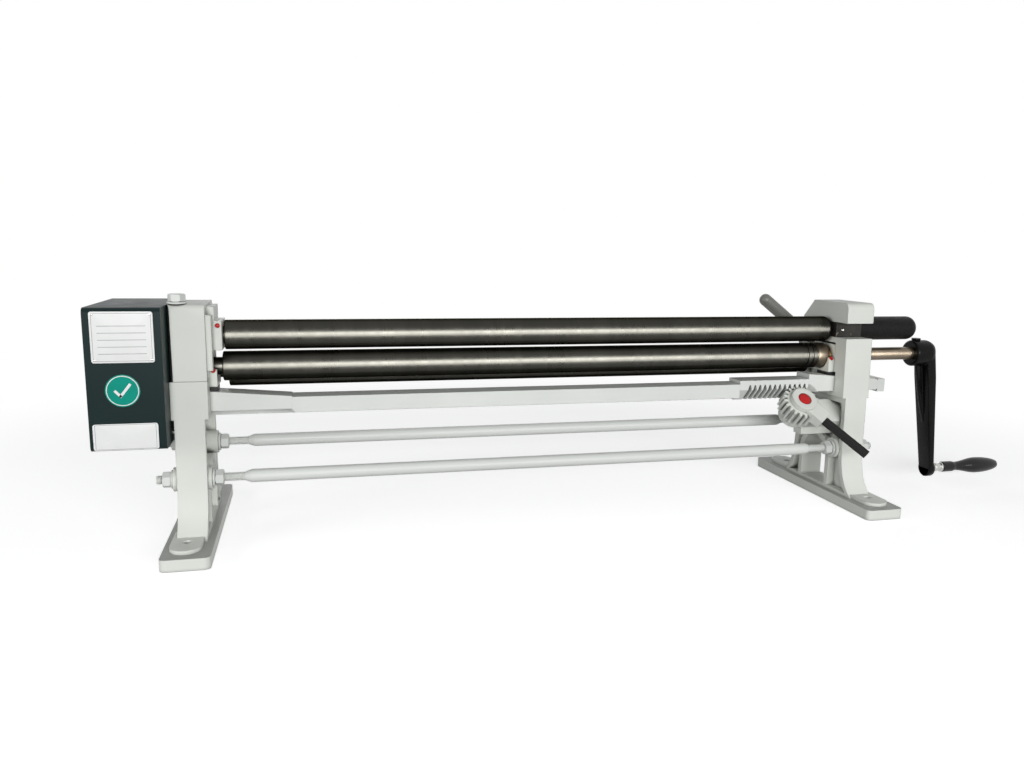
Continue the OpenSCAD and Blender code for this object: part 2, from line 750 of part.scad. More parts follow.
module right_frame() color(paint) difference() {
  union() {
    frame_body(frame_top, wedge_right_z0);
    lever_bracket();
    y_cyl(rear_top_y - rim_w / 2, rear_boss_y, rear_boss_d, frame_x, rear_pivot_z);
  }
  at_lever() translate([0, 0, bracket_top - bracket_t * 2])
    cylinder(h = bracket_t * 3, d = lever_stud_d + 2 * seat_gap);
  block(x_in - far, x_out + far, -far, slot_y1, slot_z0, slot_z0 + slot_h);
  block(x_in - far, x_out + far, rear_block_y0 - slide_gap, rear_block_y1 + slide_gap,
    rear_bar_z0 - ride_gap, rear_z + rear_block_h / 2 + rear_lift + pass_gap);
  y_cyl(rear_stud_y0 - rim_w, rear_boss_y + eps, rear_stud_d + 2 * seat_gap, frame_x, rear_pivot_z);
}

module tie_rod(y, z) x_turned([[-rod_end, 0], [-rod_end, rod_neck_d / 2 - eps * 2],
  [-rod_body, rod_neck_d / 2], [-rod_body + rod_taper, rod_d / 2], [rod_body - rod_taper, rod_d / 2],
  [rod_body, rod_neck_d / 2], [rod_end, rod_neck_d / 2], [rod_end, 0]], y, z);
module lower_tie_rod() color(paint) tie_rod(rod_low_y, rod_low_z);
module upper_tie_rod() color(paint) tie_rod(rod_up_y, rod_up_z);

module rod_nut(x0, y, z, flip) difference() {
  union() {
    hexagon_x(flip ? x0 : x0 + washer_t, flip ? x0 + nut_t : x0 + washer_t + nut_t, y, z);
    x_cyl(flip ? x0 + nut_t : x0, flip ? x0 + nut_t + washer_t : x0 + washer_t, big_af + 2 * washer_t, y, z);
  }
  x_cyl(x0 - eps, x0 + nut_t + washer_t + eps, rod_neck_d + 2 * seat_gap, y, z);
}
module tie_rod_inner_nuts() color(paint) for (s = [0, 1]) mirror([s, 0, 0])
  for (p = [[rod_low_y, rod_low_z], [rod_up_y, rod_up_z]])
    rod_nut(x_in - nut_t - washer_t, p[0], p[1], true);
module tie_rod_outer_nuts() color(paint) for (s = [0, 1]) mirror([s, 0, 0])
  for (p = [[rod_low_y, rod_low_z], [rod_up_y, rod_up_z]])
    rod_nut(x_out + boss_out, p[0], p[1], false);

// plan of the head: round about the king bolt, and a face that stays inside when it swings
module head_plan() translate([king_x, king_y]) {
  circle(knuckle_r);
  polygon([[0, 0], knuckle_r * [-cos(head_swing), -sin(head_swing)],
    knuckle_r * [-cos(head_swing), -sin(head_swing)] + far * [sin(head_swing), -cos(head_swing)],
    [far, -far], [far, 0]]);
}

module swivel_head() color(paint) difference() {
  union() {
    intersection() {
      mirror([1, 0, 0]) x_bar(x_in, x_out) frame_profile();
      union() {
        intersection() {
          translate([0, 0, head_front_z]) linear_extrude(far) head_plan();
          block(-far * 2, 0, -far, head_front_y, head_front_z, far);
        }
        translate([0, 0, head_upper_z]) linear_extrude(far) head_plan();
        block(-far * 2, 0, king_y, far, head_upper_z, far);
      }
    }
    block(-x_in - eps, -x_in + head_rib_out, front_top_y + washer_t, front_top_y + washer_t + head_rib_w,
      head_rib_z0, frame_top - shoulder_r * 2);
    block(-x_in - eps, -head_boss_x, roll_y - head_boss_d / 2 - block_out, roll_y + head_boss_d / 2,
      head_upper_z, top_z + head_boss_d / 2);
    block(-x_in - eps, -x_in + block_out, roll_y - head_boss_d / 2 - block_out, roll_y + head_boss_d / 2,
      top_z, head_pad_z1);
  }
  x_cyl(-x_out - eps, -head_boss_x + eps, head_bore_d, roll_y, top_z);
  // step that passes over the lifted rear roll when the head swings
  block(-x_in - head_relief_w, -x_in + eps, roll_y + head_boss_d / 2, far, head_upper_z - eps,
    rear_z + rear_lift + roll_d / 2 + slide_gap);
  translate([king_x, king_y, head_front_z - eps]) cylinder(h = far, d = king_d + 2 * run_gap);
  head_plug_hole();
}
module head_plug_at() translate([-head_boss_x - block_out / 2, roll_y - head_boss_d / 2 - block_out,
  top_z + head_boss_d / 2 - plug_d]) rotate([90, 0, 0]) children();
module head_plug_hole() head_plug_at() translate([0, 0, -plug_seat]) cylinder(h = far, d = plug_d + 2 * seat_gap);
module head_oil_plug() color(plug_red) head_plug_at() translate([0, 0, -plug_seat])
  cylinder(h = plug_seat + plug_h, d = plug_d);

module king_bolt() color(bright_steel) {
  translate([king_x, king_y, king_z0]) cylinder(h = frame_top - king_z0 + washer_t + eps, d = king_d);
  translate([king_x, king_y, frame_top]) cylinder(h = washer_t, r = knuckle_r);
  translate([king_x, king_y, frame_top + washer_t]) cylinder(h = king_head_h, d = big_af / cos(30), $fn = 6);
}

module top_roll_bush() color(bronze) difference() {
  x_cyl(-x_out + pass_gap, -head_boss_x, bush_d, roll_y, top_z);
  x_cyl(-x_out, -head_boss_x + eps, neck_d + 2 * run_gap, roll_y, top_z);
}

// turned roll: shoulders rounded by quarter arcs
function roll_pts(x0, x1, r0, r1, ra, rb) = concat(
  [[x0, ra]],
  [for (i = [0:4]) let (a = 90 * i / 4) [x0 + r0 - r0 * cos(a), roll_d / 2 - r0 + r0 * sin(a)]],
  [for (i = [0:8]) let (a = 90 * i / 8) [x1 - r1 + r1 * sin(a), roll_d / 2 - r1 + r1 * cos(a)]],
  [[x1, rb]]);

module top_roll() color(dark_steel) {
  x_turned(concat([[dog_x, 0], [dog_x, neck_d / 2]],
    roll_pts(top_x0, roll_x1, edge_r, shoulder_r, neck_d / 2, slip_neck_d / 2 + washer_t),
    [[roll_x1 + washer_t / 2, slip_neck_d / 2 + washer_t], [roll_x1 + washer_t / 2, slip_neck_d / 2],
    [x_in + slip_depth, slip_neck_d / 2], [x_in + slip_depth, 0]]), roll_y, top_z);
  block(dog_x - dog_l, dog_x + eps, roll_y - dog_t / 2, roll_y + dog_t / 2,
    top_z - neck_d / 2 + washer_t / 2, top_z + neck_d / 2 - washer_t / 2);
}

module slip_block() color(dark_steel) difference() {
  block(slip_x0, slip_x1, slip_y1 - slip_block_l, slip_y1, slot_z0 + slip_gap, slot_z0 + slot_h - slip_gap);
  x_cyl(slip_x0 - eps, x_in + slip_depth + pass_gap, slip_neck_d + 2 * run_gap, roll_y, top_z);
  x_cyl(slip_x1 - handle_thread_l, slip_x1 + eps, handle_thread_d + 2 * seat_gap, roll_y, top_z);
  slip_oiler_at() translate([0, 0, -plug_seat]) cylinder(h = far, d = plug_d + 2 * seat_gap);
}
module slip_oiler_at() translate([frame_x - head_t / 4, slip_y1 - slip_block_l, top_z + eps])
  rotate([90, 0, 0]) children();
module slip_block_oiler() color(bright_steel) slip_oiler_at() translate([0, 0, -plug_seat]) {
  cylinder(h = plug_seat + eps, d = plug_d);
  translate([0, 0, plug_seat]) sphere(d = plug_d);
}
module slip_handle() color(black_plastic) {
  x_turned(concat([[slip_x1 - handle_thread_l, 0], [slip_x1 - handle_thread_l, handle_thread_d / 2],
    [handle_x0, handle_thread_d / 2], [handle_x0, slip_handle_d / 2 - edge_r],
    [handle_x0 + edge_r, slip_handle_d / 2]],
    [for (i = [0:8]) let (a = 90 * i / 8) [handle_x0 + slip_handle_l - slip_handle_r + slip_handle_r * sin(a),
      slip_handle_d / 2 - slip_handle_r + slip_handle_r * cos(a)]],
    [[handle_x0 + slip_handle_l, 0]]), roll_y, top_z);
}

module lower_roll() color(dark_steel) difference() {
  x_turned(concat([[lower_neck_x0, 0], [lower_neck_x0, gear_bore_d / 2], [gear_x1, gear_bore_d / 2],
    [gear_x1, neck_d / 2]],
    roll_pts(lower_x0, roll_x1, edge_r, shoulder_r, neck_d / 2, neck_d / 2),
    [[x_out - pass_gap, neck_d / 2], [x_out - pass_gap, crank_shaft_d / 2],
    [crank_x0 + hub_l - edge_r, crank_shaft_d / 2], [crank_x0 + hub_l - edge_r, 0]]), roll_y, lower_z);
  for (i = [0:2]) let (gx = roll_x1 - groove_end - i * groove_pitch)
    x_turned([[gx - groove_w / 2, roll_d / 2 + eps], [gx - groove_w / 4, roll_d / 2 - groove_depth],
      [gx + groove_w / 4, roll_d / 2 - groove_depth], [gx + groove_w / 2, roll_d / 2 + eps]],
      roll_y, lower_z);
  x_cyl(lower_neck_x0 - eps, lower_neck_x0 + gear_bore_d, bolt_d + 2 * seat_gap, roll_y, lower_z);
}
module lower_gear_bolt() color(bright_steel) {
  x_cyl(lower_neck_x0, lower_neck_x0 + gear_bore_d - edge_r, bolt_d, roll_y, lower_z);
  x_cyl(lower_neck_x0 - washer_t / 2, lower_neck_x0, gear_bore_d + 2 * washer_t, roll_y, lower_z);
  translate([lower_neck_x0 - washer_t / 2 - bolt_head_h, roll_y, lower_z]) rotate([0, 90, 0])
    cylinder(h = bolt_head_h + eps, d = bolt_af / cos(30), $fn = 6);
}

module lower_block() difference() {
  union() {
    block(x_in, x_out - pass_gap, block_y0, block_y1, block_z0, block_z1);
    x_bar(x_in - block_out, x_in + eps) polygon([[block_y0, block_z0], [block_y1 - tab_chamfer, block_z0],
      [block_y1 - tab_chamfer, tab_z], [block_y0 + tab_chamfer, tab_z], [block_y0, tab_z - tab_chamfer]]);
  }
  x_cyl(x_in - block_out - eps, x_in + pass_gap, roll_d + 2 * saddle_gap, roll_y, lower_z);
  x_cyl(x_in - eps, x_out, bush_d + 2 * seat_gap, roll_y, lower_z);
  tab_plug_at() translate([0, 0, -plug_seat]) cylinder(h = far, d = plug_d + 2 * seat_gap);
}
module tab_plug_at() translate([x_in - block_out / 2, block_y0 + tab_chamfer / 2, tab_z - tab_chamfer / 2])
  rotate([45, 0, 0]) children();
module lower_block_left() color(paint) mirror([1, 0, 0]) lower_block();
module lower_block_right() color(paint) lower_block();
module oil_plugs() color(plug_red) for (s = [0, 1]) mirror([s, 0, 0])
  tab_plug_at() translate([0, 0, -plug_seat]) cylinder(h = plug_seat + plug_h, d = plug_d);
module lower_bushes() color(bronze) for (s = [0, 1]) mirror([s, 0, 0]) difference() {
  x_cyl(x_in + pass_gap, x_out - pass_gap, bush_d, roll_y, lower_z);
  x_cyl(x_in, x_out, neck_d + 2 * run_gap, roll_y, lower_z);
}

// wedge surfaces: the block's inner edge stands shoe_t above each wedge
function wedge_right(x) = wedge_at - (x - block_x0) * wedge_share;
function wedge_left(x) = wedge_at + shoe_rise - (x + x_out) * wedge_share;
module block_shoes() color(black_iron) {
  y_bar(bar_y0 + block_out / 2 + shoe_in, bar_y1 - shoe_in) {
    polygon([[block_x0, block_z0], [block_x0, wedge_right(block_x0) + ride_gap],
      [shoe_x1, wedge_right(shoe_x1) + ride_gap], [shoe_x1, block_z0]]);
    polygon([[-block_x0, block_z0], [-block_x0, wedge_left(-block_x0) + ride_gap],
      [-shoe_x1, wedge_left(-shoe_x1) + ride_gap], [-shoe_x1, block_z0]]);
  }
}

module front_bar() color(paint) y_bar(bar_y0, bar_y1)
  polygon([[bar_x0, bar_z0 + bar_chamfer], [bar_x0 + bar_chamfer, bar_z0], [rack_x0, bar_z0],
    [rack_x0, bar_z1], [bar_x0, bar_z1]]);

module left_wedge() color(paint) y_bar(bar_y0, bar_y1)
  polygon([[left_wedge_x0, wedge_left_z0], [bar_x0, wedge_left_z0], [bar_x0, wedge_left(bar_x0)],
    [left_wedge_x0, wedge_left(left_wedge_x0)]]);

module right_wedge() color(paint) difference() {
  y_bar(bar_y0, bar_y1) polygon([[rack_x1, wedge_foot_z], [rack_x1 + wedge_head_l, wedge_foot_z],
    [rack_x1 + wedge_head_l, wedge_right_z0], [right_wedge_x1 - stop_groove, wedge_right_z0],
    [right_wedge_x1 - stop_groove, wedge_right_z0 + stop_groove], [right_wedge_x1, wedge_right_z0 + stop_groove],
    [right_wedge_x1, wedge_right(right_wedge_x1) - stop_groove],
    [right_wedge_x1 - stop_groove, wedge_right(right_wedge_x1) - stop_groove],
    [right_wedge_x1 - stop_groove, wedge_right(right_wedge_x1)],
    [rack_x1, wedge_right(rack_x1)]]);
  // scallop that clears the gear when the bar stands at its left end
  at_lever() translate([bar_travel, 0, -far]) cylinder(h = far * 2, r = gear_r + rack_m + 2 * slide_gap);
}
module bar_end_stop() color(paint)
  block(right_wedge_x1, right_wedge_x1 + stop_l, bar_y0, bar_y1, wedge_right_z0 - stop_drop,
    wedge_right(right_wedge_x1));

module front_rack() color(paint) difference() {
  x_bar(rack_x0, rack_x1) polygon([[bar_y0, rack_z1], [bar_y0, rack_z0 + bevel], [bar_y0 + bevel, rack_z0],
    [bar_y1, rack_z0], [bar_y1, rack_z1]]);
  // tooth spaces between the teeth, one half pitch beside each tooth
  for (k = [rack_first:rack_last + 1]) at_lever()
    translate([(k - 1 / 2) * rack_pitch, gear_r, -bevel]) linear_extrude(bevel * 2) {
      gap = rack_pitch - rack_thick;
      top = gap / 2 + (rack_m + rack_slack) * tan(20);
      low = gap / 2 - rack_root * tan(20);
      polygon([[-top, -rack_m - rack_slack], [top, -rack_m - rack_slack], [low, rack_root], [-low, rack_root]]);
    }
}

module lever_gear() color(paint) at_lever() difference() {
  union() {
    translate([0, 0, -lever_face / 2]) linear_extrude(lever_face)
      rotate(180 / rack_teeth) polygon(gear_pts(rack_teeth, rack_m, rack_m, rack_root, lever_thick, 5, 0,
        rack_teeth - 1));
    cylinder(h = lever_hub_h, d = lever_hub_d);
    rotate(lever_angle) translate([0, -lever_arm_w / 2, lever_rod_up - lever_arm_t / 2])
      cube([lever_arm_l, lever_arm_w, lever_arm_t]);
  }
  translate([0, 0, -lever_face]) cylinder(h = lever_face * 3, d = lever_stud_d + 2 * run_gap);
  translate([0, 0, lever_hub_h - lever_cap_t]) cylinder(h = lever_cap_t + eps, d = lever_cap_d + 2 * pass_gap);
  rotate(lever_angle) translate([lever_arm_l - lever_rod_seat, -lever_rod_w / 2 - seat_gap,
    lever_rod_up - lever_rod_w / 2 - seat_gap])
    cube([lever_rod_seat + eps, lever_rod_w + 2 * seat_gap, lever_rod_w + 2 * seat_gap]);
}
module lever_rod() color(black_iron) at_lever() rotate(lever_angle)
  translate([lever_arm_l - lever_rod_seat, -lever_rod_w / 2, lever_rod_up - lever_rod_w / 2])
  cube([lever_reach - lever_arm_l + lever_rod_seat, lever_rod_w, lever_rod_w]);
module lever_stud() color(bright_steel) at_lever() {
  translate([0, 0, bracket_top - bracket_t - eps])
    cylinder(h = bracket_t + lever_face / 2 + bracket_gap + lever_hub_h - lever_cap_t, d = lever_stud_d);
  translate([0, 0, bracket_top - bracket_t - stud_nut_t]) cylinder(h = stud_nut_t, d = lever_stud_d * 3 / 2, $fn = 6);
}
module lever_cap() color(plug_red) at_lever()
  translate([0, 0, lever_hub_h - lever_cap_t]) cylinder(h = lever_cap_t, d = lever_cap_d);

module rear_bar() color(paint) y_bar(rear_bar_y0, rear_bar_y1) polygon([
  [rear_bar_x0, rear_bar_z0], [rear_join_x, rear_bar_z0], [rear_join_x, ramp_top],
  [nose_x0 + ramp_l, ramp_top], [nose_x0, rear_nose_z], [nose_x0 - ramp_lead, rear_nose_z],
  [nose_x0 - ramp_lead, rear_bar_z1], [-nose_x0 - nose_w + ramp_l + ramp_cap, rear_bar_z1],
  [-nose_x0 - nose_w + ramp_l + ramp_cap, ramp_top], [-nose_x0 - nose_w + ramp_l, ramp_top],
  [-nose_x0 - nose_w, rear_nose_z], [rear_bar_x0, rear_nose_z]]);

module rear_block(x0) difference() {
  union() {
    block(x0, x0 + head_t - 2 * pass_gap, rear_block_y0, rear_block_y1, rear_z - rear_block_h / 2,
      rear_z + rear_block_h / 2);
    nx = x0 + head_t / 2 - pass_gap - nose_w / 2;
    y_bar(rear_bar_y0, rear_bar_y1) polygon([[nx, rear_nose_z + ride_gap],
      [nx + nose_w, rear_nose_z + nose_w * ramp_share + ride_gap], [nx + nose_w, rear_z],
      [nx - nose_w / 2, rear_z], [nx - nose_w / 2, rear_nose_z + leg_lift], [nx, rear_nose_z + leg_lift / 2]]);
  }
  x_cyl(x0 - eps, x0 + head_t, rear_neck_d + 2 * run_gap, rear_y, rear_z);
}
module rear_block_left() color(paint) rear_block(-x_out + pass_gap);
module rear_block_right() color(paint) rear_block(x_in + pass_gap);

module rear_roll() color(dark_steel) x_turned(concat(
  [[-x_out + rear_roll_in, 0], [-x_out + rear_roll_in, rear_neck_d / 2]],
  roll_pts(top_x0, x_in - rear_roll_gap, edge_r, edge_r, rear_neck_d / 2, rear_neck_d / 2),
  [[x_out - rear_roll_in, rear_neck_d / 2], [x_out - rear_roll_in, 0]]), rear_y, rear_z);

module rear_rack() color(paint) {
  difference() {
    block(nose_x0 - nose_w, rear_join_x + rear_rack_w, quad_y0, quad_y1, rear_rack_z - rear_rack_h,
      rear_rack_z + quad_m * gear_tip);
    // tooth spaces, measured from the pivot; a tooth stands straight under it
    for (k = [-1:12]) y_bar(quad_y0 - eps, quad_y1 + eps)
      translate([frame_x + (k + 1 / 2) * quad_pitch, rear_rack_z]) {
        gap = quad_pitch / 2 + rack_slack;
        polygon([[-gap / 2 - (quad_m + eps) * tan(20), quad_m + eps], [gap / 2 + (quad_m + eps) * tan(20), quad_m + eps],
          [gap / 2 - quad_root * tan(20), -quad_root], [-gap / 2 + quad_root * tan(20), -quad_root]]);
      }
  }
  block(rear_join_x, rear_join_x + rear_rack_w, rear_bar_y0, quad_y0 + eps, rear_bar_z0, ramp_top - rack_m);
}

module rear_lever() color(paint_grey) difference() {
  union() {
    y_bar(quad_y0, quad_y1) translate([frame_x, rear_pivot_z]) {
      // quadrant: teeth from straight down round to the crank side
      intersection() {
        rotate(180 + 180 / quadrant_teeth) polygon(concat([[0, 0]], gear_pts(quadrant_teeth, quad_m, quad_m * gear_tip,
          quad_root, quad_pitch / 2 - rack_slack, 4, -1, 7)));
        circle(quadrant_r + quad_m);
      }
      circle(d = quad_hub_d);
    }
    translate([frame_x, rear_lever_y, rear_pivot_z]) rotate([0, -rear_lever_tilt, 0]) {
      cylinder(h = rear_lever_l - rear_arm_d / 2, d = rear_arm_d);
      translate([0, 0, rear_lever_l - rear_arm_d / 2]) sphere(d = rear_arm_d);
    }
  }
  y_cyl(quad_y0 - rear_arm_d, quad_y1 + rear_arm_d, rear_stud_d + 2 * run_gap, frame_x, rear_pivot_z);
  y_cyl(quad_y0 - rear_arm_d, quad_y0, quad_hub_d, frame_x, rear_pivot_z);
  y_cyl(quad_y1, quad_y1 + rear_arm_d, quad_hub_d, frame_x, rear_pivot_z);
}
module rear_lever_stud() color(bright_steel) {
  y_cyl(rear_stud_y0, quad_y1 + run_gap, rear_stud_d, frame_x, rear_pivot_z);
  y_cyl(quad_y1 + run_gap, quad_y1 + run_gap + washer_t, rear_stud_d * 2, frame_x, rear_pivot_z);
  y_bar(quad_y1 + washer_t, quad_y1 + washer_t + stud_nut_t) translate([frame_x, rear_pivot_z])
    circle(d = big_af / cos(30), $fn = 6);
}

module spur() x_bar(gear_x0, gear_x1)
  polygon(gear_pts(gear_teeth, gear_m, gear_m * gear_tip - rack_m / 4, gear_root, gear_thick, 6, 0, gear_teeth - 1));
module lower_roll_gear() color(bright_steel) difference() {
  translate([0, roll_y, lower_z]) spur();
  x_cyl(gear_x0 - eps, gear_x1 + eps, gear_bore_d + 2 * seat_gap, roll_y, lower_z);
}
module top_roll_gear() color(bright_steel) difference() {
  union() {
    translate([0, roll_y, top_z]) spur();
    x_cyl(gear_x1 - eps, dog_hub_x1, dog_hub_d, roll_y, top_z);
  }
  x_cyl(gear_x0 - eps, dog_hub_x1 - dog_l - stud_tip, gear_stud_d + 2 * run_gap, roll_y, top_z);
  block(dog_hub_x1 - dog_l - pass_gap / 2, dog_hub_x1 + eps, roll_y - dog_slot_w / 2, roll_y + dog_slot_w / 2,
    top_z - dog_hub_d, top_z + dog_hub_d);
}
module top_gear_stud() color(bright_steel) {
  x_cyl(bracket_x1 - gear_plate_t, dog_hub_x1 - dog_l - stud_tip - pass_gap, gear_stud_d, roll_y, top_z);
  x_cyl(bracket_x1, gear_x0 - slide_gap, gear_stud_d * 3 / 2, roll_y, top_z);
}
module gear_bracket() color(paint_grey) difference() {
  x_bar(bracket_x1 - gear_plate_t, bracket_x1) {
    translate([roll_y, top_z]) circle(d = gear_stud_d * 7 / 4);
    for (p = post_yz) translate(p) circle(d = post_d * 3 / 2);
    polygon([[roll_y, top_z + gear_stud_d * 7 / 8], [roll_y - gear_stud_d * 5 / 8, top_z - gear_stud_d * 5 / 8],
      [post_y - post_d * 2 / 3, post_yz[1][1]], [post_y + post_d * 3 / 4, post_yz[1][1]],
      [post_y + post_d * 3 / 4, post_yz[0][1]]]);
  }
  x_cyl(bracket_x1 - gear_plate_t - eps, bracket_x1 + eps, gear_stud_d + 2 * seat_gap, roll_y, top_z);
  for (p = post_yz) x_cyl(bracket_x1 - gear_plate_t - eps, bracket_x1 + eps, post_thread_d + 2 * seat_gap, p[0], p[1]);
}
module gear_bracket_posts() color(bright_steel) for (p = post_yz) {
  x_cyl(bracket_x1, -x_out, post_d, p[0], p[1]);
  x_cyl(bracket_x1 - gear_plate_t, -x_out + post_thread_d * 2 - edge_r, post_thread_d, p[0], p[1]);
  translate([bracket_x1 - gear_plate_t - washer_t, p[0], p[1]]) rotate([0, 90, 0])
    cylinder(h = washer_t, d = post_d, $fn = 6);
}

module cover_plate() color(cover_green) difference() {
  x_bar(plate_x0, plate_x1) difference() {
    round_box(cover_y0 + cover_wall + slide_gap, cover_y1 - cover_wall - slide_gap,
      cover_z0 + cover_wall + slide_gap, cover_z1 - cover_wall - slide_gap, cover_r - cover_wall);
    round_box(opening_y0, opening_y1, opening_z0, opening_z1, opening_r);
  }
  for (p = cover_screw_yz) x_cyl(plate_x0 - eps, plate_x1 + eps, cover_screw_d + 2 * seat_gap, p[0], p[1]);
  for (p = post_yz) x_cyl(plate_x0 - eps, plate_x1 + eps, post_d + 2 * seat_gap, p[0], p[1]);
}
module gear_cover() color(cover_green) difference() {
  x_bar(cover_x0, plate_x1) round_box(cover_y0, cover_y1, cover_z0, cover_z1, cover_r);
  x_bar(cover_x0 + cover_wall, plate_x1 + eps) round_box(cover_y0 + cover_wall, cover_y1 - cover_wall,
    cover_z0 + cover_wall, cover_z1 - cover_wall, cover_r - cover_wall);
}
module cover_screws() color(bright_steel) for (p = cover_screw_yz) {
  x_cyl(plate_x0 - screw_head_t, plate_x0, screw_head_d, p[0], p[1]);
  x_cyl(plate_x0 - eps, -leg_out + cover_screw_d * 2 - edge_r, cover_screw_d, p[0], p[1]);
}

module crank_arm() color(black_iron) difference() {
  union() {
    x_cyl(crank_x0, crank_hub_x1, hub_d, roll_y, lower_z);
    // arm: its front view leans outwards and its side view narrows towards the grip
    intersection() {
      y_bar(roll_y - arm_w0, roll_y + arm_w0) polygon([[arm_x0, lower_z], [crank_hub_x1, lower_z],
        [arm_end_x, grip_z], [arm_end_x - arm_t1, grip_z]]);
      x_bar(crank_x0, arm_boss_x1) polygon([[roll_y - arm_w0 / 2, lower_z], [roll_y + arm_w0 / 2, lower_z],
        [roll_y + arm_w1 / 2, grip_z], [roll_y - arm_w1 / 2, grip_z]]);
    }
    // gusset from the hub down the inner face of the arm
    y_bar(roll_y - arm_rib / 2, roll_y + arm_rib / 2) polygon([[crank_hub_x1 - arm_t0 / 2, lower_z],
      [arm_x0 - arm_rib, lower_z - hub_d / 4], [arm_x0 - arm_rib, lower_z - hub_d / 2],
      [arm_x0 + (arm_end_x - arm_t1 - arm_x0) * gusset_share, lower_z - crank_r * gusset_share],
      [arm_end_x - arm_t1 / 2, lower_z - crank_r * gusset_share]]);
    x_cyl(arm_boss_x0, arm_boss_x1, arm_w1, roll_y, grip_z);
  }
  x_cyl(crank_x0 - far, crank_hub_x1 - edge_r, crank_shaft_d + 2 * seat_gap, roll_y, lower_z);
  x_cyl(arm_boss_x0 - eps, arm_boss_x1 + eps, spindle_d + 2 * seat_gap, roll_y, grip_z);
  translate([set_x, roll_y, lower_z]) cylinder(h = hub_d, d = set_d + 2 * seat_gap);
}
module crank_set_screw() color(black_iron) {
  translate([set_x, roll_y, lower_z + crank_shaft_d / 2]) cylinder(h = (hub_d - crank_shaft_d) / 2, d = set_d);
  translate([set_x, roll_y, lower_z + hub_d / 2]) cylinder(h = screw_head_t, d = bolt_af / cos(30), $fn = 6);
}
module grip_spindle() color(bright_steel)
  x_cyl(arm_boss_x0, grip_x1 - end_cap, spindle_d, roll_y, grip_z);
module grip_ferrule() color(bright_steel) difference() {
  x_cyl(arm_boss_x1, grip_x0 - run_gap, ferrule_d, roll_y, grip_z);
  x_cyl(arm_boss_x1 - eps, grip_x0 + eps, spindle_d + 2 * seat_gap, roll_y, grip_z);
}
// grip outline: a collar, a neck, a belly and a round end
function grip_r(t) = t < collar_share ? collar_d / 2
  : t < neck_share ? grip_neck_d / 2 + (collar_d - grip_neck_d) / 2 * pow(cos(90 * (t - collar_share) / (neck_share - collar_share)), 2)
  : t < belly_share ? grip_neck_d / 2 + (grip_d - grip_neck_d) / 2 * pow(sin(90 * (t - neck_share) / (belly_share - neck_share)), 2)
  : grip_d / 2 * sqrt(max(1 - pow((t - belly_share) / (1 - belly_share), 2) * end_share, 0));
module crank_grip() color(black_plastic) difference() {
  x_turned(concat([[grip_x0, 0]], [for (i = [0:grip_steps]) [grip_x0 + grip_l * i / grip_steps, grip_r(i / grip_steps)]],
    [[grip_x1, 0]]), roll_y, grip_z);
  x_cyl(grip_x0 - eps, grip_x1 - end_cap + pass_gap, spindle_d + 2 * run_gap, roll_y, grip_z);
}

left_frame();
right_frame();
lower_tie_rod();
upper_tie_rod();
tie_rod_inner_nuts();
tie_rod_outer_nuts();
swivel_head();
king_bolt();
top_roll_bush();
top_roll();
slip_block();
slip_block_oiler();
slip_handle();
lower_roll();
lower_block_left();
lower_block_right();
lower_bushes();
block_shoes();
oil_plugs();
head_oil_plug();
rear_roll();
rear_block_left();
rear_block_right();
front_bar();
left_wedge();
right_wedge();
bar_end_stop();
front_rack();
lever_gear();
lever_rod();
lever_stud();
lever_cap();
rear_bar();
rear_rack();
rear_lever();
rear_lever_stud();
lower_roll_gear();
lower_gear_bolt();
top_roll_gear();
top_gear_stud();
gear_bracket();
gear_bracket_posts();
cover_plate();
gear_cover();
cover_screws();
crank_arm();
crank_set_screw();
grip_spindle();
grip_ferrule();
crank_grip();
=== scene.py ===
"""Looks of a bench slip roll: turned rolls and rods, cast frames, sheet cover, crank and grips.

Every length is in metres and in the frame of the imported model.
"""
import math

import bpy
import numpy as np
from bpy.props import FloatProperty, FloatVectorProperty, PointerProperty
from bpy.types import Operator, Panel, PropertyGroup
from mathutils import Matrix, Vector

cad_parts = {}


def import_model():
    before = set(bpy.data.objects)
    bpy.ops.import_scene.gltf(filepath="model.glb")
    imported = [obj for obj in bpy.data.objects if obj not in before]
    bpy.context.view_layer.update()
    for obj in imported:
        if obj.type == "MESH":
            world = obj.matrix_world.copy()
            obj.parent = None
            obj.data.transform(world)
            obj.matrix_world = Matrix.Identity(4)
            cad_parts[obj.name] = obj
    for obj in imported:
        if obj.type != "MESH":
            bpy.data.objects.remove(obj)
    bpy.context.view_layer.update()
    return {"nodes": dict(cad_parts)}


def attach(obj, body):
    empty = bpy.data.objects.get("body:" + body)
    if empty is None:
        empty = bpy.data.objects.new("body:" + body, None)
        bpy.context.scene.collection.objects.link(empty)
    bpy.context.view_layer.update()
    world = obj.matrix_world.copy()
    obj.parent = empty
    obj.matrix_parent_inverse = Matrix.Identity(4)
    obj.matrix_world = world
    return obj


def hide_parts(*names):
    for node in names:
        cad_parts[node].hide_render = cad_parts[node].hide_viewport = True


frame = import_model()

NODES = frame["nodes"]

bl_info = {
    "name": "Slip roll machine",
    "version": (1, 0, 0),
    "blender": (4, 5, 0),
    "location": "View3D > Sidebar > Slip roll",
    "description": "Builds the finish and the turned, sheet and cast details of a bench slip roll",
    "category": "Object",
}


# surfaces

def outward(verts, faces):
    """Flips the faces if the closed surface's signed volume, the sum of the tetrahedra from
    the origin to each face's fan, is negative."""
    total = 0.0
    for k in (3, 4):
        part = np.array([f for f in faces if len(f) == k])
        if len(part):
            a = verts[part[:, 0]]
            for i in range(1, k - 1):
                total += np.einsum("ij,ij->", a, np.cross(verts[part[:, i]], verts[part[:, i + 1]]))
    return faces if total >= 0 else [tuple(reversed(f)) for f in faces]


